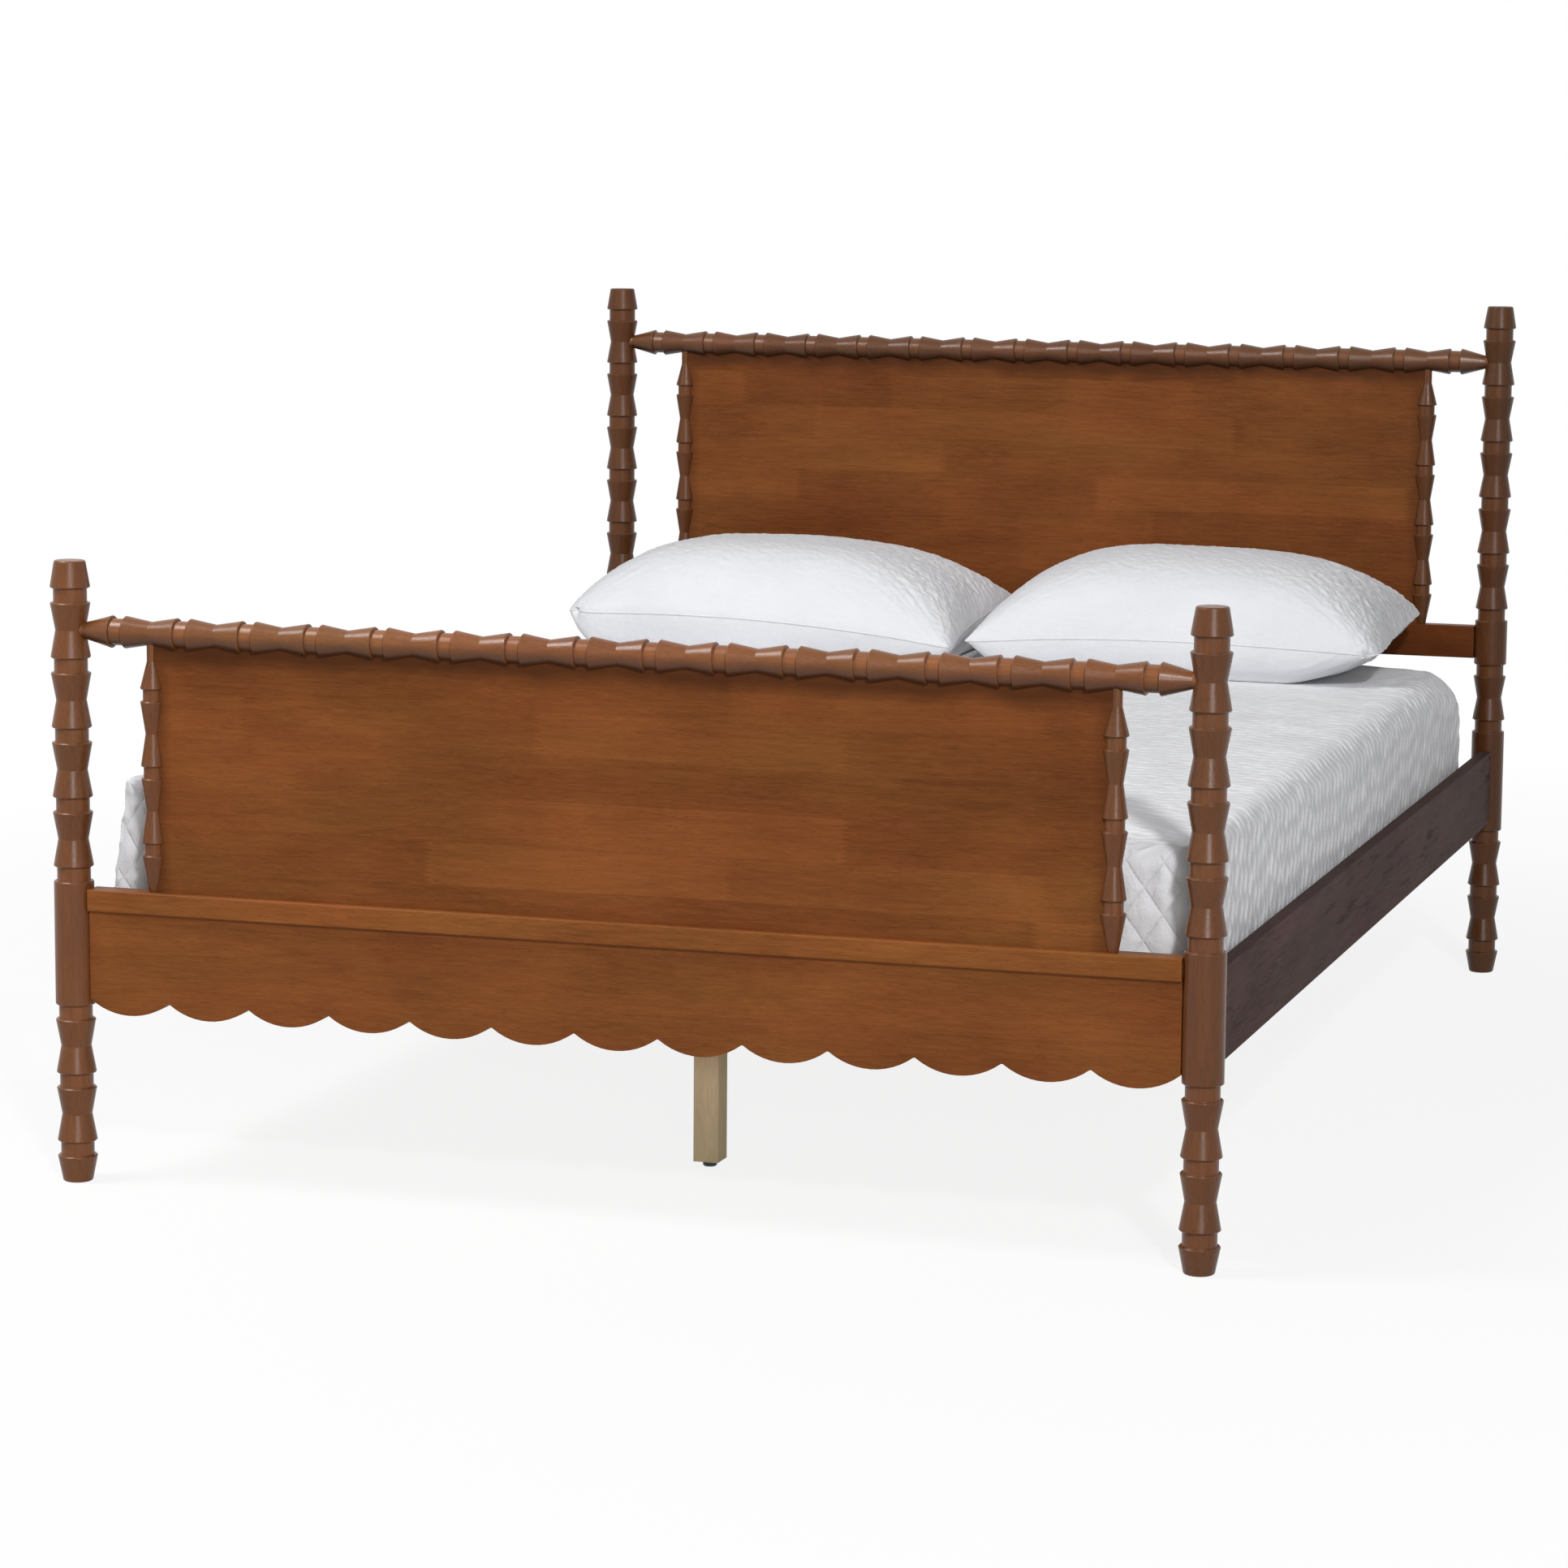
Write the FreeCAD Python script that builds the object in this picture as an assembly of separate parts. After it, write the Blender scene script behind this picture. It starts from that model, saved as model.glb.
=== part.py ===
import FreeCAD, Part
import math
import os

# Full-size platform bed with spool-turned posts, panelled head and foot, slatted base, mattress and pillows.
# Millimetres. X runs to the right seen from the foot, Y from foot to head, Z up from the floor.
# The origin is on the floor, midway between the four posts.

# Mattress and the room around it
MATTRESS_WIDTH = 1372.0
MATTRESS_LENGTH = 1905.0
MATTRESS_THICKNESS = 200.0
MATTRESS_CROWN = 5.0
MATTRESS_CORNER_RADIUS = 48.0
MATTRESS_TOP_RADIUS = 42.0
MATTRESS_BOTTOM_RADIUS = 25.0
MATTRESS_SIDE_GAP = 12.0
MATTRESS_END_GAP = 34.0

# Pillows
PILLOW_WIDTH = 640.0
PILLOW_DEPTH = 400.0
PILLOW_CROWN = 138.0
PILLOW_BELLY = 55.0
PILLOW_SINK = 12.0
PILLOW_EDGE = 5.0
PILLOW_DRAW_IN = 26.0
PILLOW_SPREAD = 5.0
PILLOW_SHIFT = -22.0
PILLOW_BEHIND = 24.0

# Turned posts
HEADBOARD_HEIGHT = 1026.0
POST_DIAMETER = 49.0
POST_GROOVE_DIAMETER = 41.0
POST_WAIST_DIAMETER = 37.0
POST_GROOVE = 17.5
POST_STRAIGHT = 154.2
POST_SHORT_STRAIGHT = 68.1
FOOT_CONE = 33.0
FOOT_DIAMETER = 37.0
FINIAL_HEIGHT = 33.4
FINIAL_TOP_DIAMETER = 38.5
LEG_BEADS = 2
FOOT_POST_BEADS = 4
HEAD_POST_LOW_BEADS = 1
HEAD_POST_HIGH_BEADS = 5
TURNED_EASE = 1.4

# Crest rails
CREST_DIAMETER = 39.5
CREST_GROOVE_DIAMETER = 32.5
CREST_WAIST_DIAMETER = 28.0
CREST_TIP_DIAMETER = 20.0
CREST_BEADS = 15
CREST_GROOVE = 16.0
CREST_END_CONE = 57.5
CREST_TIP_SHOWING = 1.5
CREST_TIP_LENGTH = 14.0

# Spindles beside the panels
SPINDLE_DIAMETER = 30.0
SPINDLE_GROOVE_DIAMETER = 23.5
SPINDLE_WAIST_DIAMETER = 18.0
SPINDLE_NECK_DIAMETER = 13.0
SPINDLE_FOOT_DIAMETER = 13.5
SPINDLE_GROOVE = 14.0
SPINDLE_NECK = 20.0
SPINDLE_TOP_CONE = 34.0
SPINDLE_FOOT_CONE = 46.0
SPINDLE_TENON = 12.0
FOOT_SPINDLE_BEADS = 2
HEAD_SPINDLE_BEADS = 3

# Panels and end rails
PANEL_THICKNESS = 9.0
PANEL_HOUSING = 6.0
CREST_SLOT_BELOW_AXIS = 8.0
CAP_RAIL_THICKNESS = 30.0
CAP_RAIL_HEIGHT = 27.0
CAP_RAIL_BELOW_STRAIGHT = 8.6
APRON_THICKNESS = 19.0
APRON_HEIGHT = 127.4
SCALLOPS = 13
SCALLOP_DEPTH = 18.2
SCALLOP_CUSP_RADIUS = 3.0
LOWER_RAIL_THICKNESS = 26.0
LOWER_RAIL_HEIGHT = 49.0
BOTTOM_RAIL_THICKNESS = 19.0
BOTTOM_RAIL_HEIGHT = 88.0
TENON_THICKNESS = 10.0
TENON_LENGTH = 15.0
TENON_SHOULDER = 6.0
BOARD_EASE = 2.0
DOWEL_DIAMETER = 8.0
DOWEL_LENGTH = 30.0
DOWELS = 8

# Side rails, their hook plates and the slatted base
SIDE_RAIL_THICKNESS = 19.0
SIDE_RAIL_HEIGHT = 111.0
SIDE_RAIL_RAISE = 13.6
HOOK_PLATE_WIDTH = 14.0
HOOK_PLATE_HEIGHT = 92.0
HOOK_PLATE_THICKNESS = 2.0
HOOK_THICKNESS = 3.0
HOOK_REACH = 14.0
HOOK_HEIGHT = 22.0
HOOK_SPACING = 56.0
HOOK_PIN_DIAMETER = 4.0
HOOK_PIN_LENGTH = 22.0
HOOK_PIN_DEPTH = 7.0
HOOK_SCREW_SPACING = 20.0
CLEAT_WIDTH = 25.0
CLEAT_HEIGHT = 24.0
CLEAT_RAISE = 2.0
CLEAT_END_GAP = 30.0
CLEAT_SCREWS = 6
SLATS = 13
SLAT_WIDTH = 68.0
SLAT_THICKNESS = 18.0
SLAT_END_GAP = 4.0
BEAM_THICKNESS = 18.0
BEAM_HEIGHT = 45.0
BRACKET_GAUGE = 2.0
BRACKET_EAR = 18.0
BRACKET_SHELF = 32.0
LEG_WIDTH = 33.0
LEG_DEPTH = 37.0
LEG_NOTCH = 9.0
LEG_TOP_GAP = 2.0
LEG_END_GAP = 325.0
LEG_BOLT_DIAMETER = 6.0
LEG_BOLT_HEAD_DIAMETER = 12.0
LEG_BOLT_HEAD = 4.0
LEG_BOLT_SPACING = 22.0
GLIDE_DIAMETER = 18.0
GLIDE_HEIGHT = 8.0
GLIDE_SOLE_EASE = 1.5
STEM_DIAMETER = 6.0
STEM_LENGTH = 25.0
INSERT_DIAMETER = 10.0
INSERT_LENGTH = 15.0

# Screws
SCREW_DIAMETER = 3.5
SCREW_HEAD_DIAMETER = 7.0
SCREW_HEAD_HEIGHT = 1.8
HOOK_SCREW_LENGTH = 28.0
CLEAT_SCREW_LENGTH = 38.0
SLAT_SCREW_LENGTH = 34.0
BRACKET_SCREW_LENGTH = 14.0

# Clearances
FIT = 0.2
HOLE_FIT = 0.1
RUNNING_FIT = 0.05
SOFT_GAP = 0.3

# Places worked out from the sizes above
POST_X = (MATTRESS_WIDTH + 2 * MATTRESS_SIDE_GAP + SIDE_RAIL_THICKNESS) / 2
POST_Y = (MATTRESS_LENGTH + 2 * MATTRESS_END_GAP + CAP_RAIL_THICKNESS) / 2
SHOULDER_X = POST_X - POST_DIAMETER / 2
SHOULDER_Y = POST_Y - POST_DIAMETER / 2
HEAD_POST_BEADS = LEG_BEADS + HEAD_POST_LOW_BEADS + HEAD_POST_HIGH_BEADS
HEAD_POST_PLAIN = FOOT_CONE + POST_STRAIGHT + POST_SHORT_STRAIGHT + 3 * POST_GROOVE + FINIAL_HEIGHT
POST_PITCH = (HEADBOARD_HEIGHT - HEAD_POST_PLAIN) / HEAD_POST_BEADS
POST_BEAD = POST_PITCH - POST_GROOVE
STRAIGHT_BOTTOM = FOOT_CONE + LEG_BEADS * POST_PITCH + POST_GROOVE
STRAIGHT_TOP = STRAIGHT_BOTTOM + POST_STRAIGHT
FOOT_CREST_Z = STRAIGHT_TOP + FOOT_POST_BEADS * POST_PITCH - POST_BEAD / 2
SHORT_STRAIGHT_BOTTOM = STRAIGHT_TOP + HEAD_POST_LOW_BEADS * POST_PITCH + POST_GROOVE
SHORT_STRAIGHT_TOP = SHORT_STRAIGHT_BOTTOM + POST_SHORT_STRAIGHT
HEAD_CREST_Z = SHORT_STRAIGHT_TOP + HEAD_POST_HIGH_BEADS * POST_PITCH - POST_BEAD / 2
CAP_TOP = STRAIGHT_TOP - CAP_RAIL_BELOW_STRAIGHT
CAP_UNDERSIDE = CAP_TOP - CAP_RAIL_HEIGHT
APRON_UNDERSIDE = CAP_UNDERSIDE - APRON_HEIGHT
APRON_CUSP = APRON_UNDERSIDE + SCALLOP_DEPTH
LOWER_RAIL_UNDERSIDE = (SHORT_STRAIGHT_BOTTOM + SHORT_STRAIGHT_TOP - LOWER_RAIL_HEIGHT) / 2
LOWER_RAIL_TOP = LOWER_RAIL_UNDERSIDE + LOWER_RAIL_HEIGHT
CREST_PITCH = (2 * (POST_X - CREST_END_CONE) - CREST_GROOVE) / CREST_BEADS
SPINDLE_X = (CREST_BEADS - 1) / 2 * CREST_PITCH
SIDE_RAIL_UNDERSIDE = STRAIGHT_BOTTOM + SIDE_RAIL_RAISE
HOOK_MIDDLE = SIDE_RAIL_UNDERSIDE + SIDE_RAIL_HEIGHT / 2
RAIL_INNER_X = POST_X - SIDE_RAIL_THICKNESS / 2
CLEAT_BOTTOM = SIDE_RAIL_UNDERSIDE + CLEAT_RAISE
CLEAT_TOP = CLEAT_BOTTOM + CLEAT_HEIGHT
CLEAT_HALF_LENGTH = SHOULDER_Y - CLEAT_END_GAP
SLAT_TOP = CLEAT_TOP + SLAT_THICKNESS
SLAT_REACH = RAIL_INNER_X - SLAT_END_GAP
BEAM_X = (LEG_NOTCH - LEG_WIDTH) / 2
BEAM_BOTTOM = CLEAT_TOP - BEAM_HEIGHT
BEAM_MIDDLE = (BEAM_BOTTOM + CLEAT_TOP) / 2
BOTTOM_RAIL_UNDERSIDE = BEAM_BOTTOM - BRACKET_GAUGE
LEG_X = (BEAM_THICKNESS - LEG_NOTCH) / 2
FOOT_SEAT_Y = -POST_Y + APRON_THICKNESS / 2
HEAD_SEAT_Y = POST_Y - BOTTOM_RAIL_THICKNESS / 2
LEG_PITCH = HEAD_SEAT_Y - LEG_END_GAP
MATTRESS_BOTTOM = SLAT_TOP
MATTRESS_TOP = MATTRESS_BOTTOM + MATTRESS_THICKNESS

X_AXIS = FreeCAD.Vector(1, 0, 0)
Y_AXIS = FreeCAD.Vector(0, 1, 0)
Z_AXIS = FreeCAD.Vector(0, 0, 1)
CENTRE = FreeCAD.Vector(0, 0, 0)
SIDES = {"left": -1, "right": 1}
ENDS = {"foot": -1, "head": 1}
LEG_PLACES = {"foot": -LEG_PITCH, "middle": 0.0, "head": LEG_PITCH}


def at(x, y, z):
    return FreeCAD.Vector(x, y, z)


def block(x, y, z):
    """Box between pairs of limits along each axis."""
    low = at(min(x), min(y), min(z))
    return Part.makeBox(max(x) - min(x), max(y) - min(y), max(z) - min(z), low)


def rod(diameter, start, direction, length):
    return Part.makeCylinder(diameter / 2, length, start, direction)


def turned(outline):
    """Solid of revolution about Z through (diameter, height) points, from the bottom up."""
    points = [at(diameter / 2, 0, height) for diameter, height in outline]
    points = [at(0, 0, outline[0][1])] + points + [at(0, 0, outline[-1][1])]
    face = Part.Face(Part.makePolygon(points + points[:1]))
    return face.revolve(CENTRE, Z_AXIS, 360)


def hourglass(start, length, diameter, waist):
    """Outline of one bead: two cones that meet at a waist, with eased rims."""
    rim = diameter - 2 * TURNED_EASE
    end = start + length
    return [(rim, start), (diameter, start + TURNED_EASE), (waist, start + length / 2),
            (diameter, end - TURNED_EASE), (rim, end)]


def drum(start, length, diameter):
    """Outline of a straight stretch with eased rims."""
    rim = diameter - 2 * TURNED_EASE
    end = start + length
    return [(rim, start), (diameter, start + TURNED_EASE), (diameter, end - TURNED_EASE), (rim, end)]


def groove(start, length, diameter):
    return [(diameter, start), (diameter, start + length)]


def ease_along(shape, axis):
    """Rounds the edges of a board that run along one axis."""
    edges = [edge for edge in shape.Edges if abs(edge.tangentAt(edge.FirstParameter).dot(axis)) > 0.999]
    return shape.makeFillet(BOARD_EASE, edges)


def mirrored(shape):
    return shape.mirror(CENTRE, X_AXIS)


def screw(head, direction, length):
    """Countersunk screw with its head's flat face at a point, pointing along a direction."""
    cone = Part.makeCone(SCREW_HEAD_DIAMETER / 2, SCREW_DIAMETER / 2, SCREW_HEAD_HEIGHT, head, direction)
    shank = rod(SCREW_DIAMETER, head + direction * SCREW_HEAD_HEIGHT, direction, length - SCREW_HEAD_HEIGHT)
    return cone.fuse(shank).removeSplitter()


def screw_hole(head, direction, length):
    """Room for such a screw, with the hole fit all round."""
    wide = SCREW_HEAD_DIAMETER / 2 + HOLE_FIT
    narrow = SCREW_DIAMETER / 2 + HOLE_FIT
    cone = Part.makeCone(wide, narrow, SCREW_HEAD_HEIGHT, head, direction)
    shank = rod(2 * narrow, head, direction, length + HOLE_FIT)
    return cone.fuse(shank)


def tenon(side, y, z, grow=0.0):
    """Tenon on one end of a cross rail, or its mortise when grown by the fit."""
    inner = SHOULDER_X - grow
    outer = SHOULDER_X + TENON_LENGTH + grow
    half = TENON_THICKNESS / 2 + grow
    low, high = z
    limits = (low + TENON_SHOULDER - grow, high - TENON_SHOULDER + grow)
    return block((side * inner, side * outer), (y - half, y + half), limits)


def with_tenons(rail, y, z):
    for side in SIDES.values():
        rail = rail.fuse(tenon(side, y, z))
    return rail.removeSplitter()


def crest_socket(end, z):
    """Bore in a right-hand post for the tip of its crest rail."""
    reach = POST_WAIST_DIAMETER / 2 + CREST_TIP_SHOWING - CREST_TIP_LENGTH - FIT
    diameter = CREST_TIP_DIAMETER + 2 * FIT
    return rod(diameter, at(POST_X - POST_DIAMETER, end * POST_Y, z), X_AXIS, POST_DIAMETER - reach)


def hook_levels():
    return [HOOK_MIDDLE - HOOK_SPACING / 2, HOOK_MIDDLE + HOOK_SPACING / 2]


def hook_slots(end):
    """Slots and pin holes in a right-hand post for the hooks of its side rail."""
    room = []
    half = HOOK_THICKNESS / 2 + FIT
    face = end * SHOULDER_Y
    back = end * (SHOULDER_Y + HOOK_REACH + FIT)
    pin_y = end * (SHOULDER_Y + HOOK_PIN_DEPTH)
    drop = HOOK_HEIGHT / 2 + HOOK_PIN_DIAMETER
    for z in hook_levels():
        limits = (z - HOOK_HEIGHT / 2 - FIT, z + HOOK_HEIGHT / 2 + drop)
        room.append(block((POST_X - half, POST_X + half), (face, back), limits))
        start = POST_X - POST_DIAMETER / 2
        hole = HOOK_PIN_DIAMETER + 2 * HOLE_FIT
        room.append(rod(hole, at(start, pin_y, z), X_AXIS, POST_DIAMETER / 2 + HOOK_PIN_LENGTH / 2))
    return room


def hook_pins():
    pins = []
    for end in ENDS.values():
        for side in SIDES.values():
            for z in hook_levels():
                start = at(side * POST_X - HOOK_PIN_LENGTH / 2, end * (SHOULDER_Y + HOOK_PIN_DEPTH), z)
                pins.append(rod(HOOK_PIN_DIAMETER, start, X_AXIS, HOOK_PIN_LENGTH))
    return Part.makeCompound(pins)


def post_outline(upper):
    """Foot, leg beads, long straight, the upper stretch that is passed in, and a finial."""
    line = [(FOOT_DIAMETER - 2 * TURNED_EASE, 0.0), (FOOT_DIAMETER, TURNED_EASE)]
    line += [(POST_DIAMETER, FOOT_CONE - TURNED_EASE), (POST_DIAMETER - 2 * TURNED_EASE, FOOT_CONE)]
    height = FOOT_CONE
    pieces = ["bead" for _ in range(LEG_BEADS)] + ["straight"] + upper
    lengths = {"bead": POST_BEAD, "straight": POST_STRAIGHT, "short": POST_SHORT_STRAIGHT}
    for kind in pieces:
        line += groove(height, POST_GROOVE, POST_GROOVE_DIAMETER)
        height += POST_GROOVE
        if kind == "bead":
            line += hourglass(height, POST_BEAD, POST_DIAMETER, POST_WAIST_DIAMETER)
        else:
            line += drum(height, lengths[kind], POST_DIAMETER)
        height += lengths[kind]
    line += groove(height, POST_GROOVE, POST_GROOVE_DIAMETER)
    height += POST_GROOVE
    top = height + FINIAL_HEIGHT
    line += [(POST_DIAMETER - 2 * TURNED_EASE, height), (POST_DIAMETER, height + TURNED_EASE)]
    line += [(FINIAL_TOP_DIAMETER, top - TURNED_EASE), (FINIAL_TOP_DIAMETER - 2 * TURNED_EASE, top)]
    return line


def post(end, upper, mortises, crest_z):
    """Right-hand post of one end, with the room for everything that enters it."""
    shape = turned(post_outline(upper))
    shape.translate(at(POST_X, end * POST_Y, 0))
    return shape.cut(mortises + hook_slots(end) + [crest_socket(end, crest_z)])


def panel_slot(end, x, z):
    """Room for an edge of the panel at one end of the bed."""
    half = PANEL_THICKNESS / 2 + FIT
    return block(x, (end * POST_Y - half, end * POST_Y + half), z)


def crest_rail(end, z):
    """Turned rail along X, slotted below for the panel and bored for the spindles."""
    tip = POST_X - POST_WAIST_DIAMETER / 2 - CREST_TIP_SHOWING
    cone = POST_X - CREST_END_CONE
    rim = CREST_DIAMETER - 2 * TURNED_EASE
    line = [(CREST_TIP_DIAMETER, -tip - CREST_TIP_LENGTH), (CREST_TIP_DIAMETER, -tip)]
    line += [(CREST_DIAMETER, -cone - TURNED_EASE), (rim, -cone)]
    start = -cone
    for _ in range(CREST_BEADS):
        line += groove(start, CREST_GROOVE, CREST_GROOVE_DIAMETER)
        length = CREST_PITCH - CREST_GROOVE
        line += hourglass(start + CREST_GROOVE, length, CREST_DIAMETER, CREST_WAIST_DIAMETER)
        start += CREST_PITCH
    line += groove(start, CREST_GROOVE, CREST_GROOVE_DIAMETER)
    line += [(rim, cone), (CREST_DIAMETER, cone + TURNED_EASE)]
    line += [(CREST_TIP_DIAMETER, tip), (CREST_TIP_DIAMETER, tip + CREST_TIP_LENGTH)]
    shape = turned(line)
    shape.rotate(CENTRE, Y_AXIS, 90)
    shape.translate(at(0, end * POST_Y, z))
    slot = panel_slot(end, (-SPINDLE_X, SPINDLE_X), (z - CREST_DIAMETER, z - CREST_SLOT_BELOW_AXIS))
    bores = []
    for side in SIDES.values():
        base = at(side * SPINDLE_X, end * POST_Y, z - CREST_DIAMETER)
        depth = CREST_DIAMETER - CREST_WAIST_DIAMETER / 2 + SPINDLE_TENON
        bores.append(rod(SPINDLE_NECK_DIAMETER + 2 * FIT, base, Z_AXIS, depth))
    return shape.cut([slot] + bores)


def spindle(end, rail_top, crest_z, beads):
    """Right-hand spindle from its end rail to the crest rail, slotted on its inner side for the panel."""
    neck_top = crest_z - CREST_WAIST_DIAMETER / 2
    cone_top = neck_top - SPINDLE_NECK
    cone_bottom = cone_top - SPINDLE_TOP_CONE
    foot_top = rail_top + SPINDLE_FOOT_CONE
    bead = (cone_bottom - foot_top - SPINDLE_GROOVE) / len(beads) - SPINDLE_GROOVE
    rim = SPINDLE_DIAMETER - 2 * TURNED_EASE
    line = [(SPINDLE_FOOT_DIAMETER, rail_top - SPINDLE_TENON + FIT), (SPINDLE_FOOT_DIAMETER, rail_top)]
    line += [(SPINDLE_DIAMETER, foot_top - TURNED_EASE), (rim, foot_top)]
    height = foot_top
    for _ in beads:
        line += groove(height, SPINDLE_GROOVE, SPINDLE_GROOVE_DIAMETER)
        line += hourglass(height + SPINDLE_GROOVE, bead, SPINDLE_DIAMETER, SPINDLE_WAIST_DIAMETER)
        height += SPINDLE_GROOVE + bead
    line += groove(height, SPINDLE_GROOVE, SPINDLE_GROOVE_DIAMETER)
    line += [(rim, cone_bottom), (SPINDLE_DIAMETER, cone_bottom + TURNED_EASE)]
    line += [(SPINDLE_NECK_DIAMETER, cone_top), (SPINDLE_NECK_DIAMETER, neck_top + SPINDLE_TENON - FIT)]
    shape = turned(line)
    shape.translate(at(SPINDLE_X, end * POST_Y, 0))
    levels = (rail_top - 2 * SPINDLE_TENON, crest_z + SPINDLE_TENON)
    return shape.cut(panel_slot(end, (SPINDLE_X - SPINDLE_DIAMETER, SPINDLE_X), levels))


def panel(end, rail_top, crest_z):
    half = PANEL_THICKNESS / 2
    edge = SPINDLE_X - FIT
    limits = (rail_top - PANEL_HOUSING + FIT, crest_z - CREST_SLOT_BELOW_AXIS - FIT)
    return block((-edge, edge), (end * POST_Y - half, end * POST_Y + half), limits)


def panel_rail(end, thickness, z):
    """Cross rail under a panel, grooved for the panel and bored for the spindles."""
    y = end * POST_Y
    high = z[1]
    rail = block((-SHOULDER_X, SHOULDER_X), (y - thickness / 2, y + thickness / 2), z)
    rail = with_tenons(ease_along(rail, X_AXIS), y, z)
    room = [panel_slot(end, (-SPINDLE_X, SPINDLE_X), (high - PANEL_HOUSING, high + PANEL_HOUSING))]
    for side in SIDES.values():
        base = at(side * SPINDLE_X, y, high - SPINDLE_TENON)
        room.append(rod(SPINDLE_FOOT_DIAMETER + 2 * FIT, base, Z_AXIS, 2 * SPINDLE_TENON))
    return rail.cut(room)


def dowel_places():
    step = 2 * SHOULDER_X / DOWELS
    return [-SHOULDER_X + (index + 0.5) * step for index in range(DOWELS)]


def dowel_rods(grow=0.0):
    length = DOWEL_LENGTH + 2 * grow
    low = CAP_UNDERSIDE - length / 2
    return [rod(DOWEL_DIAMETER + 2 * grow, at(x, -POST_Y, low), Z_AXIS, length) for x in dowel_places()]


def scalloped_apron():
    """Board under the cap rail whose lower edge is a row of scallops that hang down."""
    front = -POST_Y - APRON_THICKNESS / 2
    step = 2 * SHOULDER_X / SCALLOPS
    edges = []
    for index in range(SCALLOPS):
        left = -SHOULDER_X + index * step
        ends = at(left, front, APRON_CUSP), at(left + step, front, APRON_CUSP)
        middle = at(left + step / 2, front, APRON_UNDERSIDE)
        edges.append(Part.Arc(ends[0], middle, ends[1]).toShape())
    corners = [at(SHOULDER_X, front, APRON_CUSP), at(SHOULDER_X, front, CAP_UNDERSIDE),
               at(-SHOULDER_X, front, CAP_UNDERSIDE), at(-SHOULDER_X, front, APRON_CUSP)]
    for start, end in zip(corners, corners[1:]):
        edges.append(Part.LineSegment(start, end).toShape())
    board = Part.Face(Part.Wire(edges)).extrude(at(0, APRON_THICKNESS, 0))
    cusps = []
    for edge in board.Edges:
        middle = edge.CenterOfMass
        across = abs(edge.tangentAt(edge.FirstParameter).dot(Y_AXIS)) > 0.999
        if across and abs(middle.z - APRON_CUSP) < FIT and abs(middle.x) < SHOULDER_X - FIT:
            cusps.append(edge)
    board = board.makeFillet(SCALLOP_CUSP_RADIUS, cusps)
    return with_tenons(board, -POST_Y, (APRON_CUSP, CAP_UNDERSIDE)).cut(dowel_rods(HOLE_FIT))


def bracket_screw_heads(end):
    """Where the four screws of a beam bracket start, on the face of its ears."""
    seat = FOOT_SEAT_Y if end < 0 else HEAD_SEAT_Y
    spread = BEAM_THICKNESS / 2 + BRACKET_GAUGE + BRACKET_EAR / 2
    rise = BEAM_HEIGHT / 4
    return [at(BEAM_X + side * spread, seat - end * BRACKET_GAUGE, BEAM_MIDDLE + level * rise)
            for side in (-1, 1) for level in (-1, 1)]


def bracket_screw_set(end, make):
    return [make(head, Y_AXIS * end, BRACKET_SCREW_LENGTH) for head in bracket_screw_heads(end)]


def headboard_bottom_rail():
    limits = (BOTTOM_RAIL_UNDERSIDE, BOTTOM_RAIL_UNDERSIDE + BOTTOM_RAIL_HEIGHT)
    half = BOTTOM_RAIL_THICKNESS / 2
    rail = ease_along(block((-SHOULDER_X, SHOULDER_X), (POST_Y - half, POST_Y + half), limits), X_AXIS)
    return with_tenons(rail, POST_Y, limits).cut(bracket_screw_set(1, screw_hole))


def hook_plate_box(end, grow=0.0):
    """Flat plate let into the end of the right-hand side rail, or its pocket when grown."""
    half = HOOK_PLATE_WIDTH / 2 + grow
    high = HOOK_PLATE_HEIGHT / 2 + grow
    face = end * SHOULDER_Y
    back = end * (SHOULDER_Y - HOOK_PLATE_THICKNESS)
    return block((POST_X - half, POST_X + half), (face, back), (HOOK_MIDDLE - high, HOOK_MIDDLE + high))


def hook_screw_set(end, side, make):
    levels = [HOOK_MIDDLE - HOOK_SCREW_SPACING / 2, HOOK_MIDDLE + HOOK_SCREW_SPACING / 2]
    heads = [at(side * POST_X, end * SHOULDER_Y, z) for z in levels]
    return [make(head, Y_AXIS * -end, HOOK_SCREW_LENGTH) for head in heads]


def rail_hook(end):
    """Plate with two hooks that drop over the pins of the right-hand post."""
    shape = hook_plate_box(end)
    width = (POST_X - HOOK_THICKNESS / 2, POST_X + HOOK_THICKNESS / 2)
    reach = (end * SHOULDER_Y, end * (SHOULDER_Y + HOOK_REACH))
    notch_half = HOOK_PIN_DIAMETER / 2 + HOLE_FIT
    pin = end * (SHOULDER_Y + HOOK_PIN_DEPTH)
    for z in hook_levels():
        tab = block(width, reach, (z - HOOK_HEIGHT / 2, z + HOOK_HEIGHT / 2))
        notch = block(width, (pin - notch_half, pin + notch_half), (z - HOOK_HEIGHT, z + notch_half))
        shape = shape.fuse(tab.cut(notch))
    return shape.removeSplitter().cut(hook_screw_set(end, 1, screw_hole))


def cleat_screw_set(side, make):
    """Screws through one cleat into its side rail."""
    x = side * (RAIL_INNER_X - CLEAT_WIDTH)
    z = (CLEAT_BOTTOM + CLEAT_TOP) / 2
    step = 2 * CLEAT_HALF_LENGTH / CLEAT_SCREWS
    places = [-CLEAT_HALF_LENGTH + (index + 0.5) * step for index in range(CLEAT_SCREWS)]
    return [make(at(x, y, z), X_AXIS * side, CLEAT_SCREW_LENGTH) for y in places]


def slat_places():
    first = -CLEAT_HALF_LENGTH + SLAT_WIDTH / 2
    step = -2 * first / (SLATS - 1)
    return [first + index * step for index in range(SLATS)]


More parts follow.
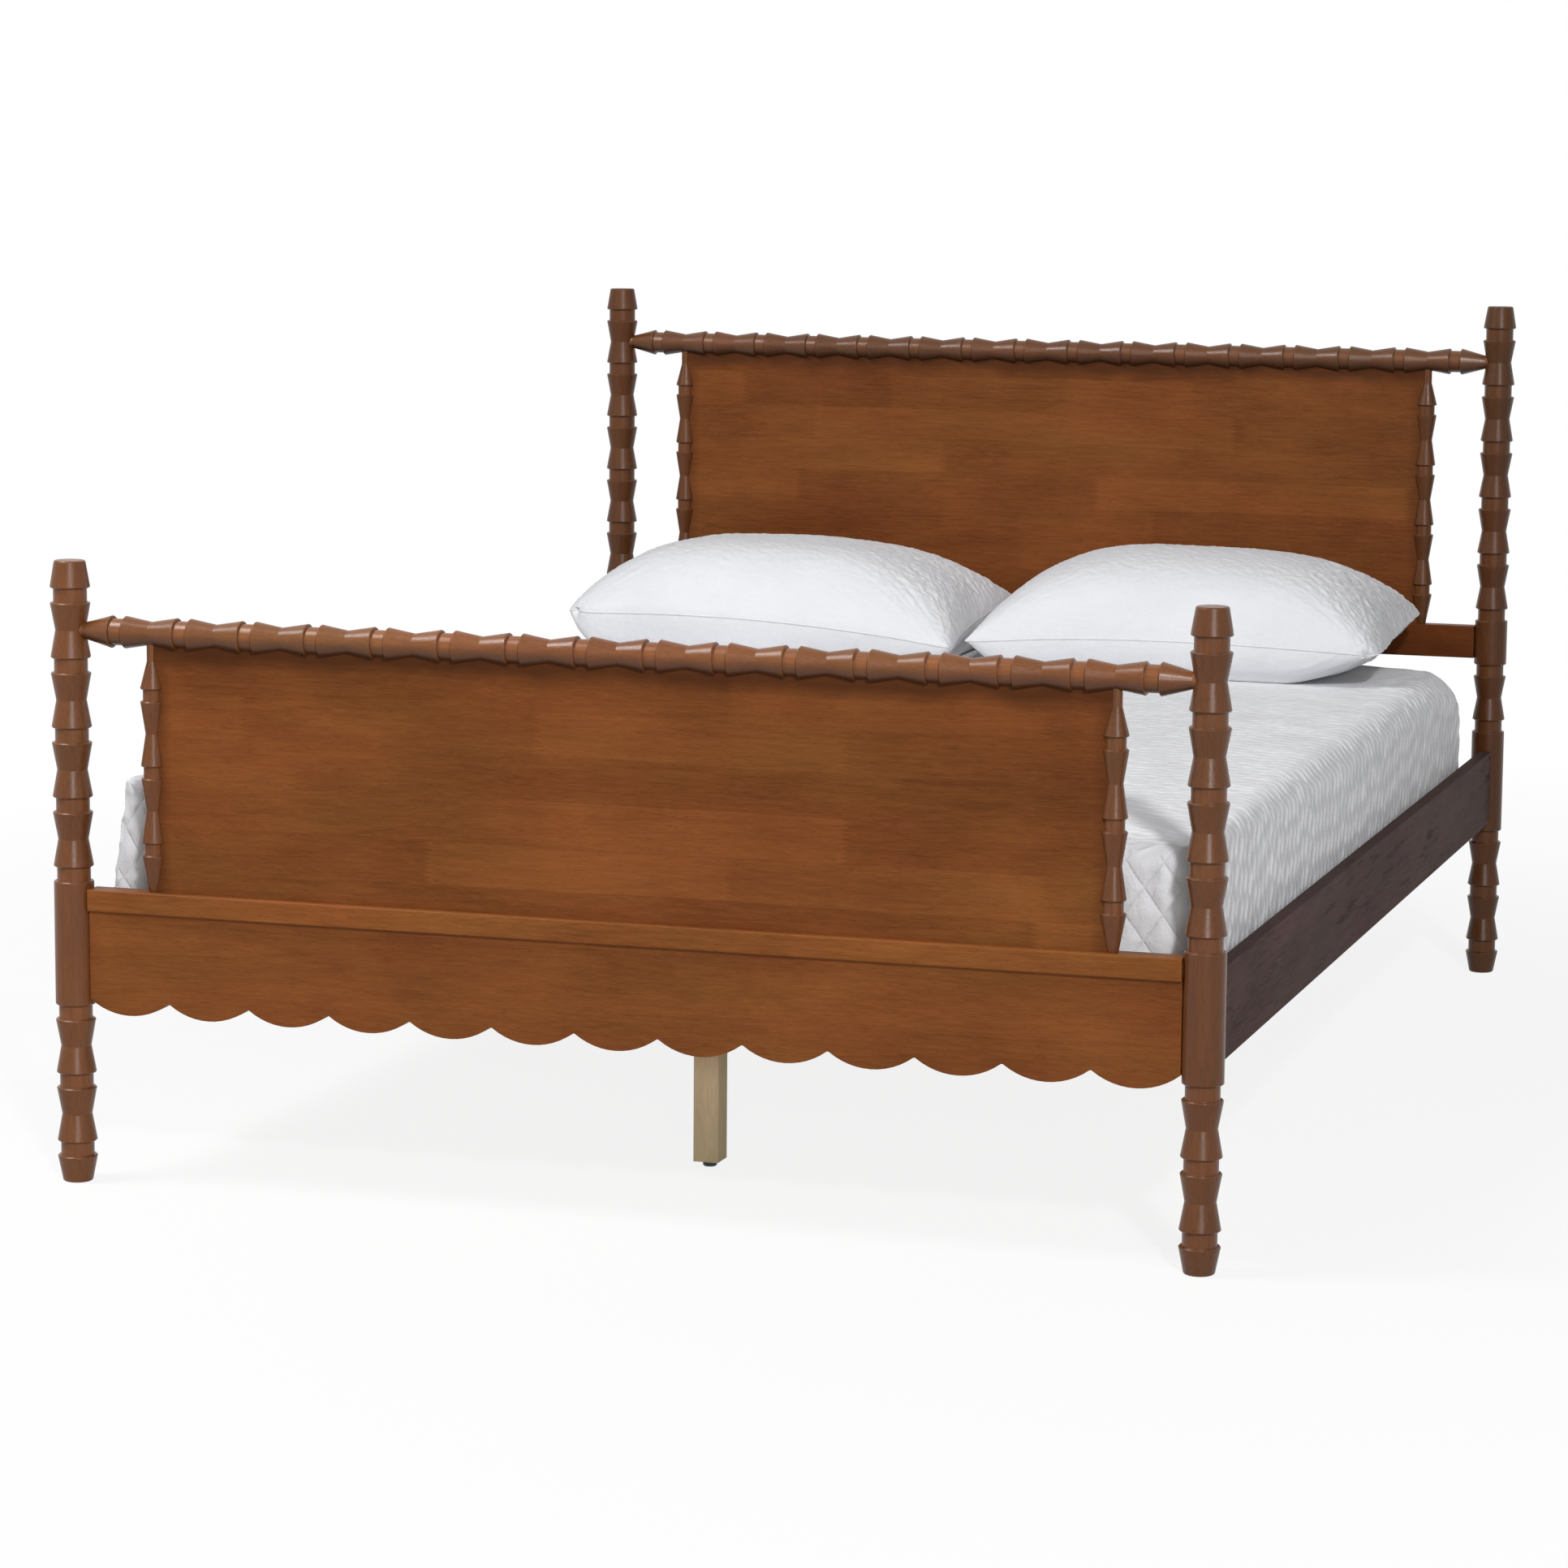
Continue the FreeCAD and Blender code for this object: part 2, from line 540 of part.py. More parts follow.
def slat_screw_set(y, make):
    x = RAIL_INNER_X - CLEAT_WIDTH / 2
    return [make(at(side * x, y, SLAT_TOP), Z_AXIS * -1, SLAT_SCREW_LENGTH) for side in SIDES.values()]


def side_rail():
    """Right-hand side rail between the shoulders of its posts."""
    half = SIDE_RAIL_THICKNESS / 2
    rail = block((POST_X - half, POST_X + half), (-SHOULDER_Y, SHOULDER_Y),
                 (SIDE_RAIL_UNDERSIDE, SIDE_RAIL_UNDERSIDE + SIDE_RAIL_HEIGHT))
    rail = ease_along(rail, Y_AXIS)
    room = cleat_screw_set(1, screw_hole)
    for end in ENDS.values():
        room.append(hook_plate_box(end, FIT))
        room += hook_screw_set(end, 1, screw_hole)
    return rail.cut(room)


def side_cleat():
    """Right-hand ledge that carries the slat ends."""
    length = (-CLEAT_HALF_LENGTH, CLEAT_HALF_LENGTH)
    ledge = block((RAIL_INNER_X - CLEAT_WIDTH, RAIL_INNER_X), length, (CLEAT_BOTTOM, CLEAT_TOP))
    room = cleat_screw_set(1, screw_hole)
    for y in slat_places():
        room += slat_screw_set(y, screw_hole)
    return ledge.cut(room)


def slat(y):
    half = SLAT_WIDTH / 2
    board = block((-SLAT_REACH, SLAT_REACH), (y - half, y + half), (CLEAT_TOP, SLAT_TOP))
    return ease_along(board, X_AXIS).cut(slat_screw_set(y, screw_hole))


def beam_bracket(end):
    """Bent steel saddle on an end rail: ears, two cheeks and a shelf under the beam."""
    seat = FOOT_SEAT_Y if end < 0 else HEAD_SEAT_Y
    inner = seat - end * BRACKET_GAUGE
    lip = inner - end * BRACKET_SHELF
    cheek = BEAM_THICKNESS / 2
    outer = cheek + BRACKET_GAUGE
    ear = outer + BRACKET_EAR
    low = BEAM_BOTTOM - BRACKET_GAUGE
    top = CLEAT_TOP - LEG_TOP_GAP
    shape = block((BEAM_X - ear, BEAM_X + ear), (seat, inner), (BEAM_BOTTOM, top))
    shape = shape.fuse(block((BEAM_X - outer, BEAM_X + outer), (seat, lip), (low, BEAM_BOTTOM)))
    for side in SIDES.values():
        wall = (BEAM_X + side * cheek, BEAM_X + side * outer)
        shape = shape.fuse(block(wall, (inner, lip), (BEAM_BOTTOM, top)))
    return shape.removeSplitter().cut(bracket_screw_set(end, screw_hole))


def leg_bolt_levels():
    return [BEAM_MIDDLE - LEG_BOLT_SPACING / 2, BEAM_MIDDLE + LEG_BOLT_SPACING / 2]


def leg_bolt_holes(y):
    start = BEAM_X - BEAM_THICKNESS
    length = 2 * (LEG_WIDTH + BEAM_THICKNESS)
    return [rod(LEG_BOLT_DIAMETER + 2 * HOLE_FIT, at(start, y, z), X_AXIS, length) for z in leg_bolt_levels()]


def leg_bolts():
    """Bolts through beam and leg, each one solid with its head and its nut."""
    bolts = []
    left = BEAM_X - BEAM_THICKNESS / 2
    right = LEG_X + LEG_WIDTH / 2
    for y in LEG_PLACES.values():
        for z in leg_bolt_levels():
            shank = rod(LEG_BOLT_DIAMETER, at(left, y, z), X_AXIS, right - left)
            head = rod(LEG_BOLT_HEAD_DIAMETER, at(right, y, z), X_AXIS, LEG_BOLT_HEAD)
            nut = rod(LEG_BOLT_HEAD_DIAMETER, at(left, y, z), X_AXIS * -1, LEG_BOLT_HEAD)
            bolts.append(shank.fuse([head, nut]).removeSplitter())
    return Part.makeCompound(bolts)


def centre_beam():
    half = BEAM_THICKNESS / 2
    limits = (FOOT_SEAT_Y + BRACKET_GAUGE + FIT, HEAD_SEAT_Y - BRACKET_GAUGE - FIT)
    beam = block((BEAM_X - half + FIT, BEAM_X + half), limits, (BEAM_BOTTOM, CLEAT_TOP))
    room = []
    for y in LEG_PLACES.values():
        room += leg_bolt_holes(y)
    return beam.cut(room)


def centre_leg(y):
    """Leg notched for the beam on its left side, bored below for its levelling screw."""
    width = (LEG_X - LEG_WIDTH / 2, LEG_X + LEG_WIDTH / 2)
    depth = (y - LEG_DEPTH / 2, y + LEG_DEPTH / 2)
    leg = ease_along(block(width, depth, (GLIDE_HEIGHT, CLEAT_TOP - LEG_TOP_GAP)), Z_AXIS)
    seat = at(LEG_X, y, GLIDE_HEIGHT)
    room = leg_bolt_holes(y)
    room.append(block((BEAM_X - LEG_WIDTH, BEAM_X + BEAM_THICKNESS / 2), depth, (BEAM_BOTTOM, CLEAT_TOP)))
    room.append(rod(INSERT_DIAMETER + 2 * HOLE_FIT, seat, Z_AXIS, INSERT_LENGTH))
    room.append(rod(STEM_DIAMETER + 4 * FIT, seat, Z_AXIS, STEM_LENGTH + LEG_TOP_GAP))
    return leg.cut(room)


def leg_insert_nuts():
    nuts = []
    for y in LEG_PLACES.values():
        seat = at(LEG_X, y, GLIDE_HEIGHT)
        sleeve = rod(INSERT_DIAMETER, seat, Z_AXIS, INSERT_LENGTH)
        nuts.append(sleeve.cut(rod(STEM_DIAMETER + 2 * RUNNING_FIT, seat, Z_AXIS, INSERT_LENGTH)))
    return Part.makeCompound(nuts)


def leg_glide(y):
    """Black plastic foot with an eased sole."""
    sole = GLIDE_DIAMETER - 2 * GLIDE_SOLE_EASE
    shape = turned([(sole, 0.0), (GLIDE_DIAMETER, GLIDE_SOLE_EASE), (GLIDE_DIAMETER, GLIDE_HEIGHT)])
    shape.translate(at(LEG_X, y, 0))
    return shape


def glide_stem(y):
    return rod(STEM_DIAMETER, at(LEG_X, y, GLIDE_HEIGHT), Z_AXIS, STEM_LENGTH)


def mattress():
    """Crowned block with rounded corners, soft upper and lower edges."""
    half_width = MATTRESS_WIDTH / 2
    half_length = MATTRESS_LENGTH / 2
    low = [at(-half_width, -half_length, MATTRESS_BOTTOM), at(half_width, -half_length, MATTRESS_BOTTOM)]
    high = [at(half_width, -half_length, MATTRESS_TOP), at(-half_width, -half_length, MATTRESS_TOP)]
    crown = at(0, -half_length, MATTRESS_TOP + MATTRESS_CROWN)
    edges = [Part.LineSegment(low[0], low[1]).toShape(), Part.LineSegment(low[1], high[0]).toShape(),
             Part.Arc(high[0], crown, high[1]).toShape(), Part.LineSegment(high[1], low[0]).toShape()]
    shape = Part.Face(Part.Wire(edges)).extrude(at(0, MATTRESS_LENGTH, 0))
    uprights = [edge for edge in shape.Edges if abs(edge.tangentAt(edge.FirstParameter).dot(Z_AXIS)) > 0.999]
    shape = shape.makeFillet(MATTRESS_CORNER_RADIUS, uprights)
    limit = MATTRESS_TOP - MATTRESS_TOP_RADIUS
    rims = [edge for edge in shape.Edges if edge.BoundBox.ZMin > limit]
    shape = shape.makeFillet(MATTRESS_TOP_RADIUS, rims)
    floor_rims = [edge for edge in shape.Edges if edge.BoundBox.ZMax < MATTRESS_BOTTOM + FIT]
    return shape.makeFillet(MATTRESS_BOTTOM_RADIUS, floor_rims)


def pillow_section(share):
    """Lens-shaped cross-section of a pillow at a share of its half width, on its own seam plane."""
    swell = (1 - share * share) ** 0.6
    x = share * PILLOW_WIDTH / 2
    half = PILLOW_DEPTH / 2 - PILLOW_DRAW_IN * (1 - share * share)
    front, rear = at(x, -half, 0), at(x, half, 0)
    top = at(x, 0, PILLOW_EDGE + swell * (PILLOW_CROWN - PILLOW_EDGE))
    bottom = at(x, 0, -PILLOW_EDGE - swell * (PILLOW_BELLY - PILLOW_EDGE))
    return Part.Wire([Part.Arc(front, top, rear).toShape(), Part.Arc(rear, bottom, front).toShape()])


def pillow_seat(x, y):
    """Slab whose top lies just above the mattress, level with its crown at one point."""
    across = x / (MATTRESS_WIDTH / 2)
    slab = block((-PILLOW_WIDTH, PILLOW_WIDTH), (-PILLOW_DEPTH, PILLOW_DEPTH), (-PILLOW_BELLY, 0))
    slope = math.atan(4 * MATTRESS_CROWN * across / MATTRESS_WIDTH)
    slab.rotate(CENTRE, Y_AXIS, math.degrees(slope))
    slab.translate(at(x, y, MATTRESS_TOP + MATTRESS_CROWN * (1 - across ** 2) + SOFT_GAP))
    return slab


def pillow(side):
    """Stuffed pillow: crowned above, flattened where it lies, drawn in along its long sides."""
    shares = [-1.0, -0.92, -0.75, -0.4, 0.0, 0.4, 0.75, 0.92, 1.0]
    shape = Part.makeLoft([pillow_section(share) for share in shares], True, False)
    x = PILLOW_SHIFT + side * (PILLOW_WIDTH + PILLOW_SPREAD) / 2
    y = MATTRESS_LENGTH / 2 + MATTRESS_END_GAP - PILLOW_BEHIND - PILLOW_DEPTH / 2
    z = MATTRESS_TOP + MATTRESS_CROWN + PILLOW_BELLY - PILLOW_SINK
    shape.translate(at(x, y, z))
    return shape.cut(pillow_seat(x, y))


def end_frames():
    """Posts, turned rails, spindles, panels and cross rails of both ends."""
    cap = (CAP_UNDERSIDE, CAP_TOP)
    apron = (APRON_CUSP, CAP_UNDERSIDE)
    lower = (LOWER_RAIL_UNDERSIDE, LOWER_RAIL_TOP)
    bottom = (BOTTOM_RAIL_UNDERSIDE, BOTTOM_RAIL_UNDERSIDE + BOTTOM_RAIL_HEIGHT)
    foot_mortises = [tenon(1, -POST_Y, z, FIT) for z in (cap, apron)]
    head_mortises = [tenon(1, POST_Y, z, FIT) for z in (lower, bottom)]
    foot_upper = ["bead" for _ in range(FOOT_POST_BEADS)]
    head_upper = ["bead" for _ in range(HEAD_POST_LOW_BEADS)] + ["short"]
    head_upper += ["bead" for _ in range(HEAD_POST_HIGH_BEADS)]
    pairs = {
        "foot_post": post(-1, foot_upper, foot_mortises, FOOT_CREST_Z),
        "head_post": post(1, head_upper, head_mortises, HEAD_CREST_Z),
        "footboard_spindle": spindle(-1, CAP_TOP, FOOT_CREST_Z, range(FOOT_SPINDLE_BEADS)),
        "headboard_spindle": spindle(1, LOWER_RAIL_TOP, HEAD_CREST_Z, range(HEAD_SPINDLE_BEADS)),
    }
    nodes = {
        "footboard_crest_rail": crest_rail(-1, FOOT_CREST_Z),
        "headboard_crest_rail": crest_rail(1, HEAD_CREST_Z),
        "footboard_panel": panel(-1, CAP_TOP, FOOT_CREST_Z),
        "headboard_panel": panel(1, LOWER_RAIL_TOP, HEAD_CREST_Z),
        "footboard_cap_rail": panel_rail(-1, CAP_RAIL_THICKNESS, cap).cut(dowel_rods(HOLE_FIT)),
        "headboard_lower_rail": panel_rail(1, LOWER_RAIL_THICKNESS, lower),
        "footboard_scalloped_apron": scalloped_apron().cut(bracket_screw_set(-1, screw_hole)),
        "headboard_bottom_rail": headboard_bottom_rail(),
        "apron_dowels": Part.makeCompound(dowel_rods()),
    }
    for name, shape in pairs.items():
        nodes[name + "_right"] = shape
        nodes[name + "_left"] = mirrored(shape)
    return nodes


def slatted_base():
    """Side rails with their fittings, cleats, slats, centre beam and its legs."""
    nodes = {"hook_pins": hook_pins(), "centre_beam": centre_beam(), "leg_bolts": leg_bolts(),
             "leg_insert_nuts": leg_insert_nuts()}
    pairs = {"side_rail": side_rail(), "side_cleat": side_cleat()}
    screws = {"hook_plate_screws": [], "beam_bracket_screws": [], "cleat_screws": [], "slat_screws": []}
    for name, end in ENDS.items():
        pairs["rail_hook_" + name] = rail_hook(end)
        nodes["beam_bracket_" + name] = beam_bracket(end)
        screws["beam_bracket_screws"] += bracket_screw_set(end, screw)
        for side in SIDES.values():
            screws["hook_plate_screws"] += hook_screw_set(end, side, screw)
    for name, shape in pairs.items():
        nodes[name + "_right"] = shape
        nodes[name + "_left"] = mirrored(shape)
    for side in SIDES.values():
        screws["cleat_screws"] += cleat_screw_set(side, screw)
    for index, y in enumerate(slat_places(), 1):
        nodes[f"slat_{index:02d}"] = slat(y)
        screws["slat_screws"] += slat_screw_set(y, screw)
    for name, y in LEG_PLACES.items():
        nodes["centre_leg_" + name] = centre_leg(y)
        nodes["leg_glide_" + name] = leg_glide(y)
        nodes["glide_stem_" + name] = glide_stem(y)
    for name, pieces in screws.items():
        nodes[name] = Part.makeCompound(pieces)
    return nodes


def bedding():
    nodes = {"mattress": mattress()}
    for name, side in SIDES.items():
        nodes["pillow_" + name] = pillow(side)
    return nodes


def main():
    nodes = {**end_frames(), **slatted_base(), **bedding()}
    os.makedirs("parts", exist_ok=True)
    for name, shape in sorted(nodes.items()):
        shape.exportStep(os.path.join("parts", name + ".step"))
        state = "valid" if shape.isValid() else "not valid"
        print(f"{name}: {len(shape.Solids)} solids, {state}, {shape.Volume / 1000:.1f} cm3")
    print(f"{len(nodes)} nodes")


main()
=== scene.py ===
"""Looks of a spool-turned platform bed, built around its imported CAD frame. Metres, same frame as the CAD."""

import math

import bpy
import numpy as np
from mathutils import Matrix, Vector, noise


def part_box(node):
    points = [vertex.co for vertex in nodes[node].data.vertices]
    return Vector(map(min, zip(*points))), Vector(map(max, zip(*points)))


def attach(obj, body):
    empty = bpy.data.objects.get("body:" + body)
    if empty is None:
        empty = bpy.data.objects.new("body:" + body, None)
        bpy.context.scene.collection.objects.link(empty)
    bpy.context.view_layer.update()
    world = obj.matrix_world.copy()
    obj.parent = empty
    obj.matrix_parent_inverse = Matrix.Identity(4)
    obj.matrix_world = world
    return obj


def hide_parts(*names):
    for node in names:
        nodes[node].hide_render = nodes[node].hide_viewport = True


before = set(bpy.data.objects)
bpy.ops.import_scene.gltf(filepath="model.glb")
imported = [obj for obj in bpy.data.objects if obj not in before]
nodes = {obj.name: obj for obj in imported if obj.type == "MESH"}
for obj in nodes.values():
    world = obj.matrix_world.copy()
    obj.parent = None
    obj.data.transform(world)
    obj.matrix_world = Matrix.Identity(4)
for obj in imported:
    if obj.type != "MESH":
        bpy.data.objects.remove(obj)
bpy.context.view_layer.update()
scene = bpy.context.scene

WHITE = (1, 1, 1, 1)

# Camera, from the photograph's vanishing points. Angles in degrees, lens and sensor in millimetres.
CAMERA_AT = (1.8239, -6.1336, 1.3282)
CAMERA_YAW = 17.519
CAMERA_PITCH = 8.317
CAMERA_ROLL = 0.442
CAMERA_LENS = 107.42
CAMERA_SENSOR = 36.0
CAMERA_REACH = 100


def camera_matrix():
    yaw = math.radians(CAMERA_YAW)
    pitch = math.radians(CAMERA_PITCH)
    roll = math.radians(CAMERA_ROLL)
    turn = np.array([[math.cos(yaw), math.sin(yaw), 0], [-math.sin(yaw), math.cos(yaw), 0], [0, 0, 1]])
    stand = np.array([[1, 0, 0], [0, 0, -1], [0, 1, 0]], float)
    nod = np.array([[1, 0, 0], [0, math.cos(pitch), -math.sin(pitch)], [0, math.sin(pitch), math.cos(pitch)]])
    lean = np.array([[math.cos(roll), -math.sin(roll), 0], [math.sin(roll), math.cos(roll), 0], [0, 0, 1]])
    rows = lean @ nod @ stand @ turn
    axes = Matrix((rows[0], -rows[1], -rows[2])).transposed().to_4x4()
    return Matrix.Translation(CAMERA_AT) @ axes


def make_camera():
    data = bpy.data.cameras.new("camera")
    data.lens = CAMERA_LENS
    data.sensor_width = CAMERA_SENSOR
    data.clip_end = CAMERA_REACH
    camera = bpy.data.objects.new("camera", data)
    scene.collection.objects.link(camera)
    camera.matrix_world = camera_matrix()
    scene.camera = camera


# Node trees.
NOISE_LOW, NOISE_HIGH = 0.3, 0.7  # where most of a noise texture's values lie


class Tree:
    """A small helper for building the nodes of a material or a world."""

    def __init__(self, owner):
        self.owner = owner
        owner.use_nodes = True
        self.nodes = owner.node_tree.nodes
        self.links = owner.node_tree.links
        self.nodes.clear()

    def add(self, kind, inputs=None, **settings):
        node = self.nodes.new("ShaderNode" + kind)
        for key, value in settings.items():
            setattr(node, key, value)
        for key, value in (inputs or {}).items():
            self.put(node.inputs[key], value)
        return node

    def put(self, socket, value):
        if isinstance(value, bpy.types.NodeSocket):
            self.links.new(value, socket)
        else:
            socket.default_value = value

    def math(self, operation, a, b=0.0, c=0.0, clamp=False):
        node = self.add("Math", operation=operation, use_clamp=clamp)
        for socket, value in zip(node.inputs, (a, b, c)):
            self.put(socket, value)
        return node.outputs[0]

    def vector(self, operation, a, b=(0, 0, 0)):
        node = self.add("VectorMath", operation=operation)
        self.put(node.inputs[0], a)
        self.put(node.inputs[1], b)
        return node.outputs["Value"] if operation in ("DOT_PRODUCT", "LENGTH") else node.outputs[0]

    def ramp(self, factor, *stops):
        node = self.add("ValToRGB", {"Fac": factor})
        elements = node.color_ramp.elements
        while len(elements) < len(stops):
            elements.new(0.5)
        for element, (place, colour) in zip(elements, stops):
            element.position = place
            element.color = (*colour[:3], 1)
        return node.outputs["Color"]

    def span(self, value, low, high, to_low=0.0, to_high=1.0):
        """Maps low to high onto to_low to to_high, and keeps to that range."""
        node = self.add("MapRange", {"Value": value, "From Min": low, "From Max": high,
                                     "To Min": to_low, "To Max": to_high})
        return node.outputs["Result"]

    def vary(self, texture, to_low, to_high):
        """Maps a noise texture onto the given range."""
        return self.span(texture, NOISE_LOW, NOISE_HIGH, to_low, to_high)

    def mix(self, factor, a, b, blend="MIX"):
        node = self.add("Mix", data_type="RGBA", blend_type=blend, clamp_factor=True)
        self.put(node.inputs["Factor"], factor)
        self.put(node.inputs[6], a)
        self.put(node.inputs[7], b)
        return node.outputs[2]

    def noise(self, vector, scale, detail=2.0, rough=0.5, distortion=0.0):
        node = self.add("TexNoise", {"Vector": vector, "Scale": scale, "Detail": detail,
                                     "Roughness": rough, "Distortion": distortion})
        return node.outputs[0]

    def place(self):
        return self.add("TexCoord").outputs["Object"]

    def face(self):
        return self.add("NewGeometry").outputs["Normal"]

    def soft_edges(self, radius, samples):
        """The normal with edges rounded to the radius, and how far it turns from the face's own."""
        rounded = self.add("Bevel", {"Radius": radius}, samples=samples).outputs[0]
        return rounded, self.math("SUBTRACT", 1.0, self.vector("DOT_PRODUCT", rounded, self.face()))

    def bump(self, height, strength, distance, normal=None):
        node = self.add("Bump", {"Strength": strength, "Distance": distance, "Height": height})
        if normal is not None:
            self.put(node.inputs["Normal"], normal)
        return node.outputs[0]

    def output(self, shader, kind="OutputMaterial"):
        self.links.new(shader, self.add(kind).inputs["Surface"])
        return self.owner


def new_material(name):
    return Tree(bpy.data.materials.new(name))


def shade(colour, k):
    return (colour[0] * k, colour[1] * k, colour[2] * k, 1.0)


# Stained wood.
PANEL_STAIN = (0.197, 0.0595, 0.0155, 1)
POST_STAIN = (0.158, 0.0515, 0.0160, 1)
CREST_STAIN = (0.190, 0.0615, 0.0175, 1)
CAP_STAIN = (0.236, 0.0745, 0.0190, 1)
# Painted shade: the headboard's lower rail is the panel's stain darkened for the shade it sits in.
LOWER_RAIL_SHADED_STAIN = (0.110, 0.0255, 0.0050, 1)
# The side rails: a darker, greyer stain, darkened further as painted shade.
RAIL_STAIN_AND_SHADE = (0.105, 0.064, 0.060, 1)
PALE_WOOD = (0.94, 0.685, 0.45, 1)
OLIVE_CAST = (0.88, 1.10, 0.94, 1)
DARK_GRAIN = (0.60, 0.55, 0.52)
LIGHT_GRAIN = (1.42, 1.48, 1.5)
RUBBED = (2.0, 2.15, 2.25)

# Which axes run along the grain, across it and into the wood.
GRAIN_AXES = {"X": ("X", "Z", "Y"), "Y": ("Y", "Z", "X"), "Z": ("Z", "X", "Y")}
GRAIN_BEND = 0.016
GRAIN_BEND_SCALE = (2.3, 9.0)
# Textures of the grain: scale along it and across it per metre, detail and roughness.
GRAIN = {
    "broad": (6.0, 34.0, 4.0, 0.55),
    "streak": (19.0, 260.0, 3.0, 0.6),
    "fibre": (62.0, 820.0, 2.0, 0.6),
    "blotch": (4.5, 8.0, 3.0, 0.5),
    "pore": (110.0, 760.0, 1.0, 0.5),
    "vein": (1.1, 17.0, 2.0, 0.4),
    "olive": (3.4, 11.0, 3.0, 0.55),
    "smudge": (9.0, 85.0, 4.0, 0.62),
    "smudge_zone": (2.6, 9.0, 1.0, 0.5),
}
GRAIN_TONES = {"broad": 0.20, "streak": 0.26, "fibre": 0.30, "blotch": 0.38}
VEIN_COUNT = 7.0
VEIN_DEPTH = 0.20
FINGER_HALF_PITCH = 0.0028
FINGER_SLOPE = 4.0
KNOT_SCALE = (3.1, 7.5, 3.0)
WOOD_EDGE = 0.0012
# Painted shade on a panel: height of the shadow under the rail above, and width of the darker strips at its sides.
FRAME_SHADE_HEIGHT = 0.020
FRAME_SHADE_WIDTH = 0.014


class Grain:
    """Coordinates in metres with the grain along the first axis, bent a little as real grain is."""

    def __init__(self, t, along, offset):
        self.t = t
        split = t.add("SeparateXYZ", {"Vector": t.vector("ADD", t.place(), offset)})
        self.line, self.across, self.depth = (split.outputs[axis] for axis in GRAIN_AXES[along])
        self.plain = t.add("CombineXYZ", {"X": self.line, "Y": self.across, "Z": self.depth}).outputs[0]
        slow = t.noise(self.stretched(*GRAIN_BEND_SCALE), 1.0)
        bend = t.math("MULTIPLY", t.math("SUBTRACT", slow, 0.5), GRAIN_BEND)
        self.across = t.math("ADD", self.across, bend)

    def stretched(self, along, across, deep=None):
        scale = self.t.math
        return self.t.add("CombineXYZ", {
            "X": scale("MULTIPLY", self.line, along), "Y": scale("MULTIPLY", self.across, across),
            "Z": scale("MULTIPLY", self.depth, across if deep is None else deep)}).outputs[0]

    def texture(self, kind):
        along, across, detail, rough = GRAIN[kind]
        return self.t.noise(self.stretched(along, across), 1.0, detail, rough)


def glue_up(t, grain, tone, stave):
    """Gives each stave a tone of its own and draws the joints; their ends are finger-jointed."""
    length, height, spread = stave
    teeth = t.math("PINGPONG", grain.across, FINGER_HALF_PITCH)
    finger = t.math("MULTIPLY", t.math("SUBTRACT", teeth, FINGER_HALF_PITCH / 2), FINGER_SLOPE)
    place = t.add("CombineXYZ", {"X": t.math("ADD", grain.line, finger), "Y": grain.across, "Z": 0.0})
    brick = t.add("TexBrick", {"Vector": place.outputs[0], "Color1": (0, 0, 0, 1), "Color2": WHITE,
                               "Mortar": (0.5, 0.5, 0.5, 1), "Scale": 1.0, "Mortar Size": 0.0004,
                               "Mortar Smooth": 0.4, "Bias": 0.0, "Brick Width": length, "Row Height": height},
                  offset=0.37, offset_frequency=2, squash=0.72, squash_frequency=3)
    tone = t.math("ADD", tone, t.span(brick.outputs["Color"], 0.0, 1.0, -spread, spread))
    return t.math("SUBTRACT", tone, t.math("MULTIPLY", brick.outputs["Fac"], 0.22))


def painted_frame_shade(t, grain, border):
    """Painted shade on a panel: a shadow under the rail above it and darker strips along its two sides."""
    half, top = border
    place = t.add("SeparateXYZ", {"Vector": t.place()})
    uneven = t.vary(t.noise(grain.plain, 16.0), -0.006, 0.006)
    above = t.span(t.math("ADD", place.outputs["Z"], uneven), top - FRAME_SHADE_HEIGHT, top, 0.0, 0.78)
    sides = t.span(t.math("ABSOLUTE", place.outputs["X"]), half - FRAME_SHADE_WIDTH, half, 0.0, 0.40)
    return t.math("MAXIMUM", above, sides)


def turned_stain_and_painted_shade(t, stain, colour, pale, streak, along, collar):
    """The narrow rings of a turned piece take the stain thinly. On a crest rail, painted shade darkens the steps
    between its rings and its underside.
    """
    middle, radius = collar
    flat = {"X": (0, 1, 1), "Z": (1, 1, 0)}[along]
    away = t.vector("MULTIPLY", t.vector("SUBTRACT", t.place(), middle), flat)
    thin = t.math("LESS_THAN", t.vector("LENGTH", away), radius)
    lean = t.math("ABSOLUTE", t.vector("DOT_PRODUCT", t.face(), tuple(1 - f for f in flat)))
    level = t.math("MULTIPLY", thin, t.span(lean, 0.02, 0.06, 1.0, 0.0))
    stain = t.mix(t.math("MULTIPLY", level, t.vary(streak, 0.10, 0.30)), stain, pale)
    if along == "X":
        # Painted shade on a crest rail: the faces along its axis (the steps by its rings) and the faces that look
        # down are darkened.
        stain = t.mix(t.span(lean, 0.8, 0.97, 0.0, 0.72), stain, shade(colour, 0.30))
        down = t.vector("DOT_PRODUCT", t.face(), (0, 0, -1))
        stain = t.mix(t.span(down, -0.15, 0.75, 0.0, 0.80), stain, shade(colour, 0.30))
    return stain


